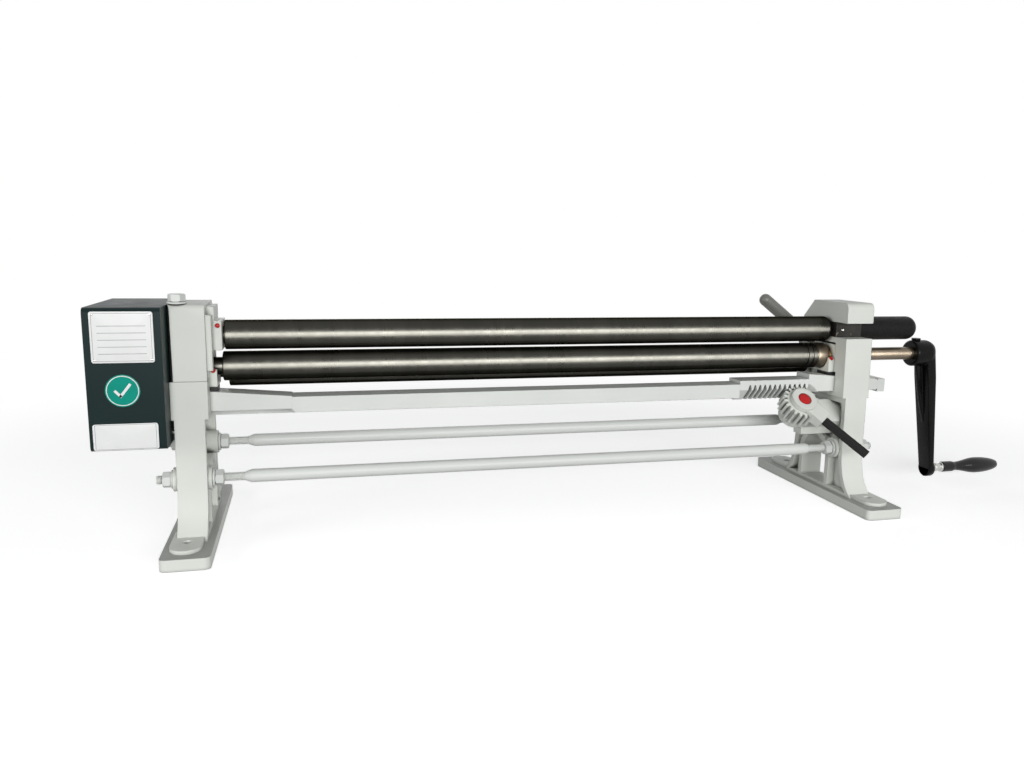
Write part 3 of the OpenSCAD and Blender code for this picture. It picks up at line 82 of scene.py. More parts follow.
def piece(name, shells, body, material, replaced=(), crease=34.0):
    """Makes one mesh of closed shells, each a pair of points and faces turned outwards, shades it
    smooth up to the crease angle in degrees, gives it its material and sets it on its body."""
    verts, faces, first = [], [], 0
    for points, loops in shells:
        loops = outward(points, [tuple(int(i) for i in f) for f in loops])
        verts.append(points)
        faces += [tuple(i + first for i in f) for f in loops]
        first += len(points)
    mesh = bpy.data.meshes.new(name)
    mesh.from_pydata(np.vstack(verts).tolist(), [], faces)
    mesh.validate()
    mesh.update()
    mesh.polygons.foreach_set("use_smooth", np.ones(len(mesh.polygons), bool))
    mesh.set_sharp_from_angle(angle=math.radians(crease))
    obj = bpy.data.objects.new(name, mesh)
    bpy.context.scene.collection.objects.link(obj)
    mesh.materials.append(material)
    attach(obj, body)
    if replaced:
        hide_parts(*replaced)
    return obj


def capped(verts, rings, around):
    """Faces of a closed grid of rings between two end points: quads between neighbouring rings,
    with the last column joined to the first, and a fan at each end."""
    i, j = np.meshgrid(np.arange(rings - 1), np.arange(around), indexing="ij")
    a = 1 + i * around + j
    b = 1 + i * around + (j + 1) % around
    quads = np.stack([a, b, b + around, a + around], -1).reshape(-1, 4)
    j = np.arange(around)
    low = np.stack([0 * j, 1 + (j + 1) % around, 1 + j], -1)
    base = 1 + (rings - 1) * around
    high = np.stack([0 * j + len(verts) - 1, base + j, base + (j + 1) % around], -1)
    return list(quads) + list(low) + list(high)


def angles(around):
    """Evenly spaced angles of a full turn."""
    return np.linspace(0, 2 * np.pi, around, endpoint=False)


def revolved(s, r, t, ends):
    """Closed surface with points (s, r cos t, r sin t) on a grid of places and angles, and an
    end point on the axis at each end."""
    grid = np.stack([s + 0 * t, r * np.cos(t), r * np.sin(t)], -1)
    verts = np.vstack([[ends[0], 0, 0], grid.reshape(-1, 3), [ends[1], 0, 0]])
    return verts, capped(verts, *grid.shape[:2])


def place(verts, about, axis):
    """Turns points from along, across, up to the axis, named or given as a direction, and moves
    them to about."""
    if isinstance(axis, str):
        order = {"X": [0, 1, 2], "Y": [2, 0, 1], "Z": [1, 2, 0]}[axis]
        return verts[:, order] + np.array(about)
    a = np.array(axis, float) / np.linalg.norm(axis)
    b = np.cross(a, (1.0, 0, 0))
    b /= np.linalg.norm(b)
    return verts @ np.stack([a, b, np.cross(a, b)]) + np.array(about)


def turned(profile, about, axis="X", around=96):
    """Surface of revolution. The profile is a list of (along, radius) from pole to pole, and a
    point is (along, radius cos t, radius sin t), with t the angle, moved to the axis."""
    p = np.array(profile, float)
    s, r = p[1:-1, 0][:, None], p[1:-1, 1][:, None]
    verts, faces = revolved(s, r, angles(around), (p[0, 0], p[-1, 0]))
    return place(verts, about, axis), faces


def arc(s, r, radius, a0, a1, steps):
    """Points (along, radius) of a profile's arc about (s, r), with angles in degrees."""
    a = np.radians(np.linspace(a0, a1, steps))
    return [(s + radius * math.cos(x), r + radius * math.sin(x)) for x in a]


def hexagon(s0, s1, flats, about, axis="X", turn=0.0):
    """Hexagonal prism whose radius is half the flats over cos of the angle from the nearest
    flat, cut at both ends by 30 degree cones as a real nut is."""
    cut, cone_start = 0.12 * flats, 0.96
    s = np.concatenate([s0 + np.linspace(0, cut, 6), s1 - np.linspace(cut, 0, 6)])
    t = angles(96)
    near = (t + np.pi / 6) % (np.pi / 3) - np.pi / 6
    flat = flats / 2 / np.cos(near)
    cone = flats / 2 * cone_start + np.minimum(s - s0, s1 - s) / math.tan(math.radians(30))
    r = np.minimum(flat[None, :], cone[:, None])
    verts, faces = revolved(s[:, None], r, t + turn, (s0, s1))
    return place(verts, about, axis), faces


def thread(s0, s1, radius, pitch, about):
    """Screw thread along X: the radius falls and rises once a pitch, as a triangle wave of place
    over pitch less the turn's share, 0.55 pitches deep, and fades out at both ends."""
    s = np.arange(s0, s1, pitch / 8)[:, None]
    t = angles(32)
    phase = (s / pitch - t / (2 * np.pi)) % 1
    fade = np.clip(np.minimum(s - s0, s1 - s) / pitch, 0, 1)
    r = radius - pitch * 0.55 * (1 - (1 - np.abs(2 * phase - 1)) * fade)
    verts, faces = revolved(s, r, t, (s0, s1))
    return place(verts, about, "X"), faces


def loop(a0, a1, b0, b1, radius):
    """Rounded rectangle as (a, b) points: an arc of six points about each inner corner, a
    quarter turn on each time."""
    turn = (np.arange(4)[:, None] + np.linspace(0, 1, 6)[None, :]) * np.pi / 2
    ca = np.array([a1 - radius, a0 + radius, a0 + radius, a1 - radius])[:, None]
    cb = np.array([b1 - radius, b1 - radius, b0 + radius, b0 + radius])[:, None]
    return np.stack([ca + radius * np.cos(turn), cb + radius * np.sin(turn)], -1).reshape(-1, 2)


def lofted(centres, sections):
    """Closed loft: section k is a loop of 3-D points about centre k, and both ends are capped
    by fans to the end centres."""
    c = np.array(centres, float)
    grid = np.array(sections, float)
    verts = np.vstack([c[:1], grid.reshape(-1, 3), c[-1:]])
    return verts, capped(verts, *grid.shape[:2])


def slab(a, b, c, radius, edge, axis):
    """Plate or bar along an axis: rounded rectangles from c0 to c1, which shrink at both ends
    along a quarter circle of the edge radius."""
    q = np.linspace(0, np.pi / 2, 5)
    at = np.concatenate([c[0] + edge * (1 - np.cos(q)), c[1] - edge * (1 - np.cos(q))[::-1]])
    inset = edge * np.concatenate([1 - np.sin(q), (1 - np.sin(q))[::-1]])
    rings = [loop(a[0] + i, a[1] - i, b[0] + i, b[1] - i, max(radius - i, 1e-5)) for i in inset]
    grid = np.stack([np.concatenate([np.full((len(k), 1), s), k], 1) for s, k in zip(at, rings)])
    middle = [(s, (a[0] + a[1]) / 2, (b[0] + b[1]) / 2) for s in (at[0], at[-1])]
    verts, faces = lofted(middle, grid)
    return place(verts, (0, 0, 0), axis), faces


def strip(p, q, width, y0, y1):
    """Flat bar in the plane of X and Z from p to q, with its width to both sides, from y0 to
    y1."""
    p, q = np.array(p, float), np.array(q, float)
    side = np.array([p[1] - q[1], q[0] - p[0]]) / np.linalg.norm(q - p) * width / 2
    corners = np.array([p - side, q - side, q + side, p + side])
    ring = [np.stack([corners[:, 0], np.full(4, y), corners[:, 1]], -1) for y in (y0, y1)]
    middle = (p + q) / 2
    return lofted([(middle[0], y0, middle[1]), (middle[0], y1, middle[1])], ring)


# shader nodes

BLACK, WHITE = (0, 0, 0), (1, 1, 1)


def add(tree, kind, inputs=None, **attributes):
    """Adds a shader node, sets its attributes, and sets each input or links it to a socket."""
    node = tree.nodes.new("ShaderNode" + kind)
    for key, value in attributes.items():
        setattr(node, key, value)
    for key, value in (inputs or {}).items():
        if isinstance(value, bpy.types.NodeSocket):
            tree.links.new(value, node.inputs[key])
        else:
            node.inputs[key].default_value = value
    return node


def noise(tree, coord, scale, detail=2.0, stretch=(1, 1, 1)):
    """Noise over Object coordinates, stretched by a Mapping node."""
    mapping = add(tree, "Mapping", {"Scale": stretch, "Vector": coord})
    inputs = {"Scale": scale, "Detail": detail, "Vector": mapping.outputs["Vector"]}
    return add(tree, "TexNoise", inputs).outputs["Fac"]


def ramp(tree, value, *stops):
    """Colour ramp through two stops, each a place and a colour."""
    node = add(tree, "ValToRGB", {"Fac": value})
    for element, (at, colour) in zip(node.color_ramp.elements, stops):
        element.position = at
        element.color = (*colour, 1)
    return node.outputs["Color"]


def mixed(tree, factor, a, b, blend="MIX"):
    """Mix of two colours."""
    inputs = {"Factor": factor, "A": a, "B": b}
    return add(tree, "Mix", inputs, data_type="RGBA", blend_type=blend).outputs["Result"]


def mapped(tree, value, start, end, low, high, **attributes):
    """Value carried from the range start to end to the range low to high."""
    inputs = {"Value": value, "From Min": start, "From Max": end, "To Min": low, "To Max": high}
    return add(tree, "MapRange", inputs, **attributes).outputs["Result"]


def maths(tree, operation, a, b):
    """Result of a Math node."""
    return add(tree, "Math", {0: a, 1: b}, operation=operation).outputs[0]


def seen(tree):
    """1 where the camera, a reflection or a refraction looks, and 0 elsewhere."""
    rays = add(tree, "LightPath").outputs
    first = maths(tree, "MAXIMUM", rays["Is Camera Ray"], rays["Is Glossy Ray"])
    return maths(tree, "MAXIMUM", first, rays["Is Transmission Ray"])


# finishes

DRIFT_LOW, DRIFT_HIGH = 0.3, 0.7        # noise values of the darkest and lightest colour
ROUGH_LOW, ROUGH_HIGH = 0.25, 0.75      # and of the lowest and highest roughness
WEAR_EDGE = 0.06                # how soft the edge of a worn patch is, in noise values
CORNER_SHADE_REACH = 0.010             # how near a corner's other side is for the painted corner shade to reach
CORNER_SHADE_RANGE = (0.25, 0.70)      # open share of the surface, from fully shaded to unshaded, for the painted corner shade
TOP_SHADE_HEIGHT = (0.0162, 0.0185)     # heights where the painted top shade ends, just over the feet
TOP_SHADE_FACING = (0.6, 0.9)        # Z of the normal where the painted top shade begins
TOP_SHADE_FACTOR = 0.25               # painted top shade against the paint under it
WAVE_SCALE, WAVE_DEPTH = 22.0, 0.0015
WELD_DISTANCE, SPLIT_ANGLE = 2e-6, 28.0


def shade(colour, factor):
    """Colour scaled by a factor and held under white."""
    return tuple(min(c * factor, 1.0) for c in colour)


def worn(tree, coord, tone, bare, scale, start):
    """Bare colour in the patches where a noise is over its start."""
    patches = noise(tree, coord, scale, 6.0)
    mask = ramp(tree, patches, (start, BLACK), (start + WEAR_EDGE, WHITE))
    return mixed(tree, mask, tone, (*bare, 1))


def painted_corner_shade(tree, tone, amount):
    """Painted shade: tone made darker, by up to the amount, where corners are shut in."""
    shut = add(tree, "AmbientOcclusion", {"Distance": CORNER_SHADE_REACH}, samples=8)
    fully_shaded, unshaded = CORNER_SHADE_RANGE
    shade_factor = ramp(tree, shut.outputs["AO"], (fully_shaded, (1 - amount,) * 3), (unshaded, WHITE))
    return mixed(tree, 1.0, tone, shade_factor, "MULTIPLY")


def painted_top_shade(tree, coord, tone, colour, amount):
    """Painted shade on low tops that face up: its share is a fall with height times a rise with the
    normal's Z.
    """
    height = add(tree, "SeparateXYZ", {"Vector": coord}).outputs["Z"]
    normal = add(tree, "NewGeometry").outputs["Normal"]
    facing = add(tree, "SeparateXYZ", {"Vector": normal}).outputs["Z"]
    low = mapped(tree, height, *TOP_SHADE_HEIGHT, 1.0, 0.0)
    up = mapped(tree, facing, *TOP_SHADE_FACING, 0.0, amount)
    return mixed(tree, maths(tree, "MULTIPLY", low, up), tone, (*shade(colour, TOP_SHADE_FACTOR), 1))


def finish(name, colour, rough, metal=0.0, vary=0.05, vary_scale=14.0, grain=420.0, bump=0.04,
           bump_depth=0.0002, round_edge=0.0, stretch=(1, 1, 1), rough_vary=0.06,
           edge_tint=None, wear=None, spec=0.5, wave=0.0, corner_shade=0.0, top_shade=0.0):
    """Coated or machined surface: colour drifting a little from place to place, worn in patches,
    painted shade where corners are shut in and on low tops that face up, uneven roughness, and a
    bump of slow waves and a fine grain over edges rounded by the Bevel node."""
    material = bpy.data.materials.new(name)
    material.use_nodes = True
    tree = material.node_tree
    shader = tree.nodes["Principled BSDF"].inputs
    coord = add(tree, "TexCoord").outputs["Object"]
    drift = noise(tree, coord, vary_scale, 4.0, stretch)
    tone = ramp(tree, drift, (DRIFT_LOW, shade(colour, 1 - vary)),
                (DRIFT_HIGH, shade(colour, 1 + vary)))
    if wear:
        tone = worn(tree, coord, tone, *wear)
    # painted shade: tone darker where corners are shut in
    if corner_shade:
        tone = painted_corner_shade(tree, tone, corner_shade)
    # painted shade: tone darker on low tops that face up
    if top_shade:
        tone = painted_top_shade(tree, coord, tone, colour, top_shade)
    uneven = noise(tree, coord, vary_scale * 3, 3.0, stretch)
    level = ramp(tree, uneven, (ROUGH_LOW, (rough - rough_vary,) * 3),
                 (ROUGH_HIGH, (rough + rough_vary,) * 3))
    tree.links.new(tone, shader["Base Color"])
    tree.links.new(level, shader["Roughness"])
    shader["Metallic"].default_value = metal
    shader["Specular IOR Level"].default_value = spec
    if edge_tint:
        shader["Specular Tint"].default_value = (*edge_tint, 1)
    normal = None
    if round_edge:
        normal = add(tree, "Bevel", {"Radius": round_edge}, samples=6).outputs["Normal"]
    for scale, strength, depth in ((WAVE_SCALE, wave, WAVE_DEPTH), (grain, bump, bump_depth)):
        if strength:
            height = noise(tree, coord, scale, 2.0, stretch)
            inputs = {"Strength": strength, "Distance": depth, "Height": height}
            if normal:
                inputs["Normal"] = normal
            normal = add(tree, "Bump", inputs).outputs["Normal"]
    tree.links.new(normal, shader["Normal"])
    return material


class SlipRollColours(PropertyGroup):
    """Colours and finishes that a user may change."""
    casting: FloatVectorProperty(
        name="Casting paint", description="Light grey paint of the frames",
        default=(0.72, 0.74, 0.69), size=3, subtype="COLOR", min=0, max=1)
    bars: FloatVectorProperty(
        name="Bar paint", description="Light grey paint of bars and rods",
        default=(0.70, 0.72, 0.69), size=3, subtype="COLOR", min=0, max=1)
    roll: FloatVectorProperty(
        name="Roll steel", description="Dark ground steel of the rolls",
        default=(0.040, 0.039, 0.034), size=3, subtype="COLOR", min=0, max=1)
    roll_end: FloatVectorProperty(
        name="Roll end steel", description="Tan steel of the lower roll's end",
        default=(0.17, 0.14, 0.105), size=3, subtype="COLOR", min=0, max=1)
    cover: FloatVectorProperty(
        name="Cover paint", description="Dark green-grey paint of the gear cover",
        default=(0.0055, 0.016, 0.016), size=3, subtype="COLOR", min=0, max=1)
    lever: FloatVectorProperty(
        name="Lever paint", description="Grey-green paint of the rear lever",
        default=(0.155, 0.158, 0.140), size=3, subtype="COLOR", min=0, max=1)
    iron: FloatVectorProperty(
        name="Black iron", description="Black paint of crank and lever rod",
        default=(0.0035, 0.0035, 0.0033), size=3, subtype="COLOR", min=0, max=1)
    plug: FloatVectorProperty(
        name="Plug red", description="Red of plugs and cap",
        default=(0.50, 0.014, 0.014), size=3, subtype="COLOR", min=0, max=1)
    plate: FloatVectorProperty(
        name="Plate white", description="White of the bare plates",
        default=(0.78, 0.79, 0.78), size=3, subtype="COLOR", min=0, max=1)
    sticker: FloatVectorProperty(
        name="Sticker green", description="Teal of the round sticker",
        default=(0.0, 0.27, 0.205), size=3, subtype="COLOR", min=0, max=1)
    roll_rough: FloatProperty(
        name="Roll roughness", description="Roughness of the ground rolls",
        default=0.30, min=0.05, max=0.8, subtype="FACTOR")


class SlipRollSizes(PropertyGroup):
    """Lengths of the visual pieces that a user may change."""
    nut_flats: FloatProperty(
        name="Nut size", description="Width across flats of the tie rod nuts",
        default=0.019, min=0.01, max=0.03, unit="LENGTH")
    thread_pitch: FloatProperty(
        name="Thread pitch", description="Pitch of the tie rod threads",
        default=0.00175, min=0.001, max=0.003, unit="LENGTH")
    groove_depth: FloatProperty(
        name="Groove depth", description="Depth of the wire grooves",
        default=0.0022, min=0.0005, max=0.004, unit="LENGTH")
    arm_round: FloatProperty(
        name="Arm rounding", description="Rounding of the crank arm's edges",
        default=0.003, min=0.001, max=0.006, unit="LENGTH")
    sticker_r: FloatProperty(
        name="Sticker radius", description="Radius of the round sticker",
        default=0.020, min=0.01, max=0.025, unit="LENGTH")
    plate_t: FloatProperty(
        name="Plate thickness", description="Thickness of the plates on the cover",
        default=0.0006, min=0.0002, max=0.001, unit="LENGTH")


BRIGHT_STEEL, BRONZE, SLEEVE_BLACK = (0.52, 0.52, 0.50), (0.50, 0.32, 0.12), (0.0045,) * 3
SLIP_STEEL, SLIP_BARE = (0.030, 0.028, 0.025), (0.20, 0.165, 0.125)
SHOE_BLACK, RULE_GREY = (0.02,) * 3, (0.30, 0.31, 0.32)
ROLL_TINT = (0.3, 0.3, 0.27)

FINISHES = {}


def make_finishes(c):
    """All finishes of the machine, by name, in the user's colours c."""
    turned_steel = dict(metal=1.0, vary=0.10, vary_scale=40, grain=900, bump=0.10,
                        bump_depth=0.00012, stretch=(1, 0.05, 0.05), rough_vary=0.05)
    FINISHES.update(
        # casting, bars and rods: painted shade in shut-in corners; the casting also has painted
        # shade on low tops that face up
        casting=finish("casting_paint", c.casting, 0.42, vary=0.03, grain=260, bump=0.10,
                       bump_depth=0.0004, round_edge=0.0018, spec=0.2, wave=0.05, corner_shade=0.8,
                       top_shade=0.6),
        bars=finish("bar_paint", c.bars, 0.36, vary=0.03, grain=300, bump=0.06,
                    bump_depth=0.0003, round_edge=0.0009, spec=0.3, corner_shade=0.85),
        rods=finish("rod_paint", c.bars, 0.38, vary=0.04, vary_scale=30, grain=300, bump=0.05,
                    stretch=(0.1, 1, 1), spec=0.3, corner_shade=0.6),
        roll=finish("roll_steel", c.roll, c.roll_rough, edge_tint=ROLL_TINT, **turned_steel),
        roll_end=finish("roll_end_steel", c.roll_end, 0.34, **turned_steel),
        bright=finish("bright_steel", BRIGHT_STEEL, 0.28, metal=1.0, vary_scale=60, grain=600,
                      bump=0.06, bump_depth=0.0001, round_edge=0.0004),
        slip=finish("slip_block_steel", SLIP_STEEL, 0.40, metal=0.5, vary=0.3, vary_scale=90,
                    grain=500, bump=0.3, bump_depth=0.0005, round_edge=0.0008, spec=0.3,
                    wear=(SLIP_BARE, 75.0, 0.62)),
        bronze=finish("bronze", BRONZE, 0.35, metal=1.0, vary=0.06),
        lever=finish("lever_paint", c.lever, 0.38, grain=300, bump=0.06, round_edge=0.0008),
        iron=finish("black_iron", c.iron, 0.30, vary=0.25, vary_scale=40, grain=220, bump=0.30,
                    bump_depth=0.0005, round_edge=0.0022, spec=0.12, wave=0.04),
        rod_black=finish("black_rod", c.iron, 0.30, vary=0.2, grain=600, bump=0.10,
                         round_edge=0.0014, spec=0.22),
        plastic=finish("black_plastic", c.iron, 0.20, vary=0.1, vary_scale=60, grain=340,
                       bump=0.10, bump_depth=0.0003, spec=0.35),
        sleeve=finish("black_sleeve", SLEEVE_BLACK, 0.42, vary=0.2, vary_scale=90, grain=520,
                      bump=1.0, bump_depth=0.0010, spec=0.12),
        cover=finish("cover_paint", c.cover, 0.42, vary=0.10, vary_scale=16, grain=900,
                     bump=0.10, round_edge=0.0012, spec=0.14),
        plug=finish("plug_red", c.plug, 0.30, vary=0.08, vary_scale=120, grain=800, bump=0.03,
                    spec=0.25),
        shoe=finish("shoe_black", SHOE_BLACK, 0.5, vary=0.2, grain=500, bump=0.1,
                    round_edge=0.0005, spec=0.3),
        plate=finish("plate_white", c.plate, 0.35, vary=0.02, vary_scale=50, grain=900,
                     bump=0.03),
        rule=finish("plate_rules", RULE_GREY, 0.45, vary=0.15, vary_scale=90, grain=900,
                    bump=0.02),
        sticker=finish("sticker_green", c.sticker, 0.40, vary_scale=60, grain=900, bump=0.02,
                       spec=0.15),
    )


NODE_FINISH = {
    "casting": ("left_frame", "right_frame", "swivel_head", "lower_block_left", "lower_block_right",
                "rear_block_left", "rear_block_right", "lever_gear", "gear_bracket"),
    "bars": ("front_bar", "left_wedge", "right_wedge", "bar_end_stop", "front_rack", "rear_bar",
             "rear_rack", "king_bolt"),
    "rods": ("lower_tie_rod", "upper_tie_rod", "tie_rod_inner_nuts", "tie_rod_outer_nuts"),
    "roll": ("top_roll", "lower_roll", "rear_roll"),
    "slip": ("slip_block",),
    "bright": ("slip_block_oiler", "lever_stud", "rear_lever_stud", "lower_gear_bolt",
               "top_gear_stud", "gear_bracket_posts", "cover_screws",
               "grip_spindle", "grip_ferrule", "lower_roll_gear", "top_roll_gear"),
    "bronze": ("top_roll_bush", "lower_bushes"),
    "lever": ("rear_lever",),
    "iron": ("crank_arm", "crank_set_screw"),
    "rod_black": ("lever_rod",),
    "shoe": ("block_shoes",),
    "plastic": ("crank_grip",),
    "sleeve": ("slip_handle",),
    "cover": ("gear_cover", "cover_plate"),
    "plug": ("oil_plugs", "head_oil_plug", "lever_cap"),
}


def dress_node(obj, material):
    """Gives a CAD node its finish, and smooth faces up to a crease through Weld and Edge Split."""
    mesh = obj.data
    mesh.materials.clear()
    mesh.materials.append(material)
    mesh.polygons.foreach_set("material_index", np.zeros(len(mesh.polygons), np.int32))
    mesh.polygons.foreach_set("use_smooth", np.ones(len(mesh.polygons), bool))
    obj.modifiers.new("Weld", "WELD").merge_threshold = WELD_DISTANCE
    obj.modifiers.new("Edge Split", "EDGE_SPLIT").split_angle = math.radians(SPLIT_ANGLE)


class SLIPROLL_OT_finishes(Operator):
    """Make the finishes and give each CAD node its own"""
    bl_idname = "sliproll.finishes"
    bl_label = "Finishes"

    def execute(self, context):
        make_finishes(context.scene.sliproll_colours)
        for name, nodes in NODE_FINISH.items():
            for node in nodes:
                dress_node(NODES[node], FINISHES[name])
        return {"FINISHED"}


# places of the axes and faces that the pieces sit on

ROLL_Y = -0.016
TOP_Z, LOWER_Z, GRIP_Z = 0.275, 0.2325, 0.0325
TOP_ROLL, LOWER_ROLL, GRIP = (0, ROLL_Y, TOP_Z), (0, ROLL_Y, LOWER_Z), (0, ROLL_Y, GRIP_Z)
REAR_ROLL = (0, 0.028, 0.218)
TIE_RODS = (("lower_tie_rod", -0.051, 0.0865), ("upper_tie_rod", 0.034, 0.116))
KING_BOLT = (-0.505, -0.054, 0)
LEVER_STUD = (0.4048, -0.0545009, 0.156799)
BLOCK_PLUGS = ((-0.46625, -0.0395, 0.2295), (0.46625, -0.0395, 0.2295))
HEAD_PLUG = (-0.45775, -0.0465, 0.290)
COVER_Y = -0.108
STICKER = (-0.5643, COVER_Y, 0.217)
FORWARD = (0, -1, 0)
FRONT_UP = (0, -0.70710678, 0.70710678)

ROLL_R = 0.02
JOURNAL_R = 0.012
SMALL_ROUND, LARGE_ROUND = 0.0015, 0.007
NUT_CREASE, FERRULE_CREASE, CAST_CREASE = 20.0, 24.0, 50.0      # degrees


def shoulder(s):
    """Left shoulder of a roll: its face at s, rounded by a small arc up to the roll's radius."""
    low = ROLL_R - SMALL_ROUND
    return [(s, low), *arc(s + SMALL_ROUND, low, SMALL_ROUND, 180, 90, 6)]


def nose(s):
    """Right end of a roll, rounded by a large arc down to its face at s."""
    return arc(s - LARGE_ROUND, ROLL_R - LARGE_ROUND, LARGE_ROUND, 90, 0, 12)


def wire_grooves(depth):
    """Three grooves in the lower roll: five points each, shallow, deep and shallow again."""
    cut = ((-0.002, 0), (-0.0013, 0.75), (0, 1), (0.0013, 0.75), (0.002, 0))
    return [(centre + off, ROLL_R - depth * share) for centre in (0.4276, 0.4366, 0.4456)
            for off, share in cut]


class SLIPROLL_OT_rolls(Operator):
    """Turn the three rolls, with rounded shoulders and the wire grooves"""
    bl_idname = "sliproll.rolls"
    bl_label = "Rolls"

    def execute(self, context):
        steel, slot = FINISHES["roll"], "roll_steel"
        left, right, neck = -0.4515, 0.4686, 0.008
        top = [(-0.519, 0), (-0.519, 0.0115), (-0.5185, JOURNAL_R), (left, JOURNAL_R),
               *shoulder(left), (0.44, ROLL_R), *nose(right),
               (right, 0.011), (0.4701, 0.011), (0.4701, neck), (0.504, neck), (0.504, 0)]
        tongue = slab((ROLL_Y - 0.0035, ROLL_Y + 0.0035), (TOP_Z - 0.0105, TOP_Z + 0.0105),
                      (-0.527, -0.5185), 0.0008, 0.0005, "X")
        piece("top_roll_turned", [turned(top, TOP_ROLL, around=128), tongue], "top_roll",
              steel, ("top_roll",))
        lower_left, seam = -0.455, 0.4477
        grooves = wire_grooves(context.scene.sliproll_sizes.groove_depth)
        lower = [(-0.5615, 0), (-0.5615, 0.01), (-0.54, 0.01), (-0.54, JOURNAL_R),
                 (lower_left, JOURNAL_R), *shoulder(lower_left), (0.42, ROLL_R), *grooves,
                 (seam, ROLL_R), (seam, 0)]
        piece("lower_roll_turned", [turned(lower, LOWER_ROLL, around=128)], "lower_roll",
              steel, ("lower_roll",))
        end = [(0.4468, 0), (0.4468, 0.0196), (seam, 0.0196), (seam, ROLL_R), *nose(right),
               (right, JOURNAL_R), (0.5165, JOURNAL_R), (0.5165, 0.0105), (0.668, 0.0105),
               (0.668, 0)]
        piece("lower_roll_end", [turned(end, LOWER_ROLL, around=128)], "lower_roll",
              FINISHES["roll_end"])
        rear_right = 0.46
        rear = [(-0.514, 0), (-0.514, 0.0075), (-0.5135, neck), (left, neck), *shoulder(left),
                *arc(rear_right - SMALL_ROUND, ROLL_R - SMALL_ROUND, SMALL_ROUND, 90, 0, 6),
                (rear_right, neck), (0.5135, neck), (0.514, 0.0075), (0.514, 0)]
        piece("rear_roll_turned", [turned(rear, REAR_ROLL, around=128)], "rear_roll",
              steel, ("rear_roll",))
        return {"FINISHED"}


def span(side, near, far):
    """Low and high X of a part between two distances from the middle, on side 1 or -1."""
    return tuple(sorted((side * near, side * far)))


class SLIPROLL_OT_rods(Operator):
    """Turn the tie rods with threaded ends, and cut their nuts and washers and the king bolt"""
    bl_idname = "sliproll.rods"
    bl_label = "Tie rods and nuts"

    def execute(self, context):
        sizes = context.scene.sliproll_sizes
        inner, outer = [], []
        rod_r, core_r, thread_r = 0.009, 0.005, 0.006
        half = [(0.4, rod_r), (0.421, rod_r), (0.4225, 0.0087), (0.4285, 0.0063),
                (0.430, 0.0058), (0.4305, core_r), (0.5325, core_r), (0.5325, 0)]
        rod = [(-s, r) for s, r in reversed(half)] + half
        washer = [(0.0005, 0), (0.0, 0.0120), (0.0005, 0.0125), (0.0025, 0.0125),
                  (0.003, 0.0120), (0.0028, 0)]
        threads = ((-0.542, -0.532), (-0.4575, -0.429), (0.429, 0.4575), (0.532, 0.542))
        for name, y, z in TIE_RODS:
            ends = [thread(a, b, thread_r, sizes.thread_pitch, (0, y, z)) for a, b in threads]
            piece(name + "_turned", [turned(rod, (0, y, z), around=64), *ends],
                  "machine_frame", FINISHES["rods"], (name,))
            for side in (-1, 1):
                for nuts, nut, ring in ((inner, (0.457, 0.468), (0.468, 0.471)),
                                        (outer, (0.523, 0.534), (0.52, 0.523))):
                    nuts.append(hexagon(*span(side, *nut), sizes.nut_flats, (0, y, z)))
                    nuts.append(turned(washer, (span(side, *ring)[0], y, z), around=48))
        for name, nuts, node in (("inner_nuts_cut", inner, "tie_rod_inner_nuts"),
                                 ("outer_nuts_cut", outer, "tie_rod_outer_nuts")):
            piece(name, nuts, "machine_frame", FINISHES["rods"], (node,),
                  crease=NUT_CREASE)
        shank = [(0.193, 0), (0.193, 0.0052), (0.194, 0.006), (0.3195, 0.006),
                 (0.3195, 0.0115), (0.3198, 0.012), (0.3217, 0.012), (0.322, 0.0115),
                 (0.322, 0)]
        head = hexagon(0.322, 0.332, sizes.nut_flats, KING_BOLT, "Z", turn=math.pi / 6)
        piece("king_bolt_cut", [turned(shank, KING_BOLT, "Z", 48), head], "machine_frame",
              FINISHES["bars"], ("king_bolt",), crease=NUT_CREASE)
        return {"FINISHED"}


def grip_profile():
    """Profile of the crank's grip. Over its length from 0 to 1 the radius is a plain bead, then a
    neck that falls by a squared cosine, a belly that rises by a squared sine, and an end that
    closes as an ellipse does."""
    start, length, steps = 0.7165, 0.113, 61
    neck_at, waist_at, belly_at = 0.17, 0.24, 0.62
    bead_r, waist_r, belly_r = 0.009, 0.0075, 0.0135
    t = np.linspace(0, 1, steps)
    fall = np.cos(np.pi / 2 * (t - neck_at) / (waist_at - neck_at)) ** 2
    rise = np.sin(np.pi / 2 * (t - waist_at) / (belly_at - waist_at)) ** 2
    close = np.sqrt(np.maximum(1 - ((t - belly_at) / (1 - belly_at)) ** 2 * 0.8, 0))
    r = np.select([t < neck_at, t < waist_at, t < belly_at],
                  [np.full(steps, bead_r), waist_r + (bead_r - waist_r) * fall,
                   waist_r + (belly_r - waist_r) * rise], belly_r * close)
    return [(start, 0), (start, 0.0078), (start + 0.0008, 0.0088),
            *[(start + length * a, b) for a, b in zip(t[1:-1], r[1:-1])],
            *arc(0.8277, 0.0045, 0.0018, 60, 0, 5), (0.8295, 0)]


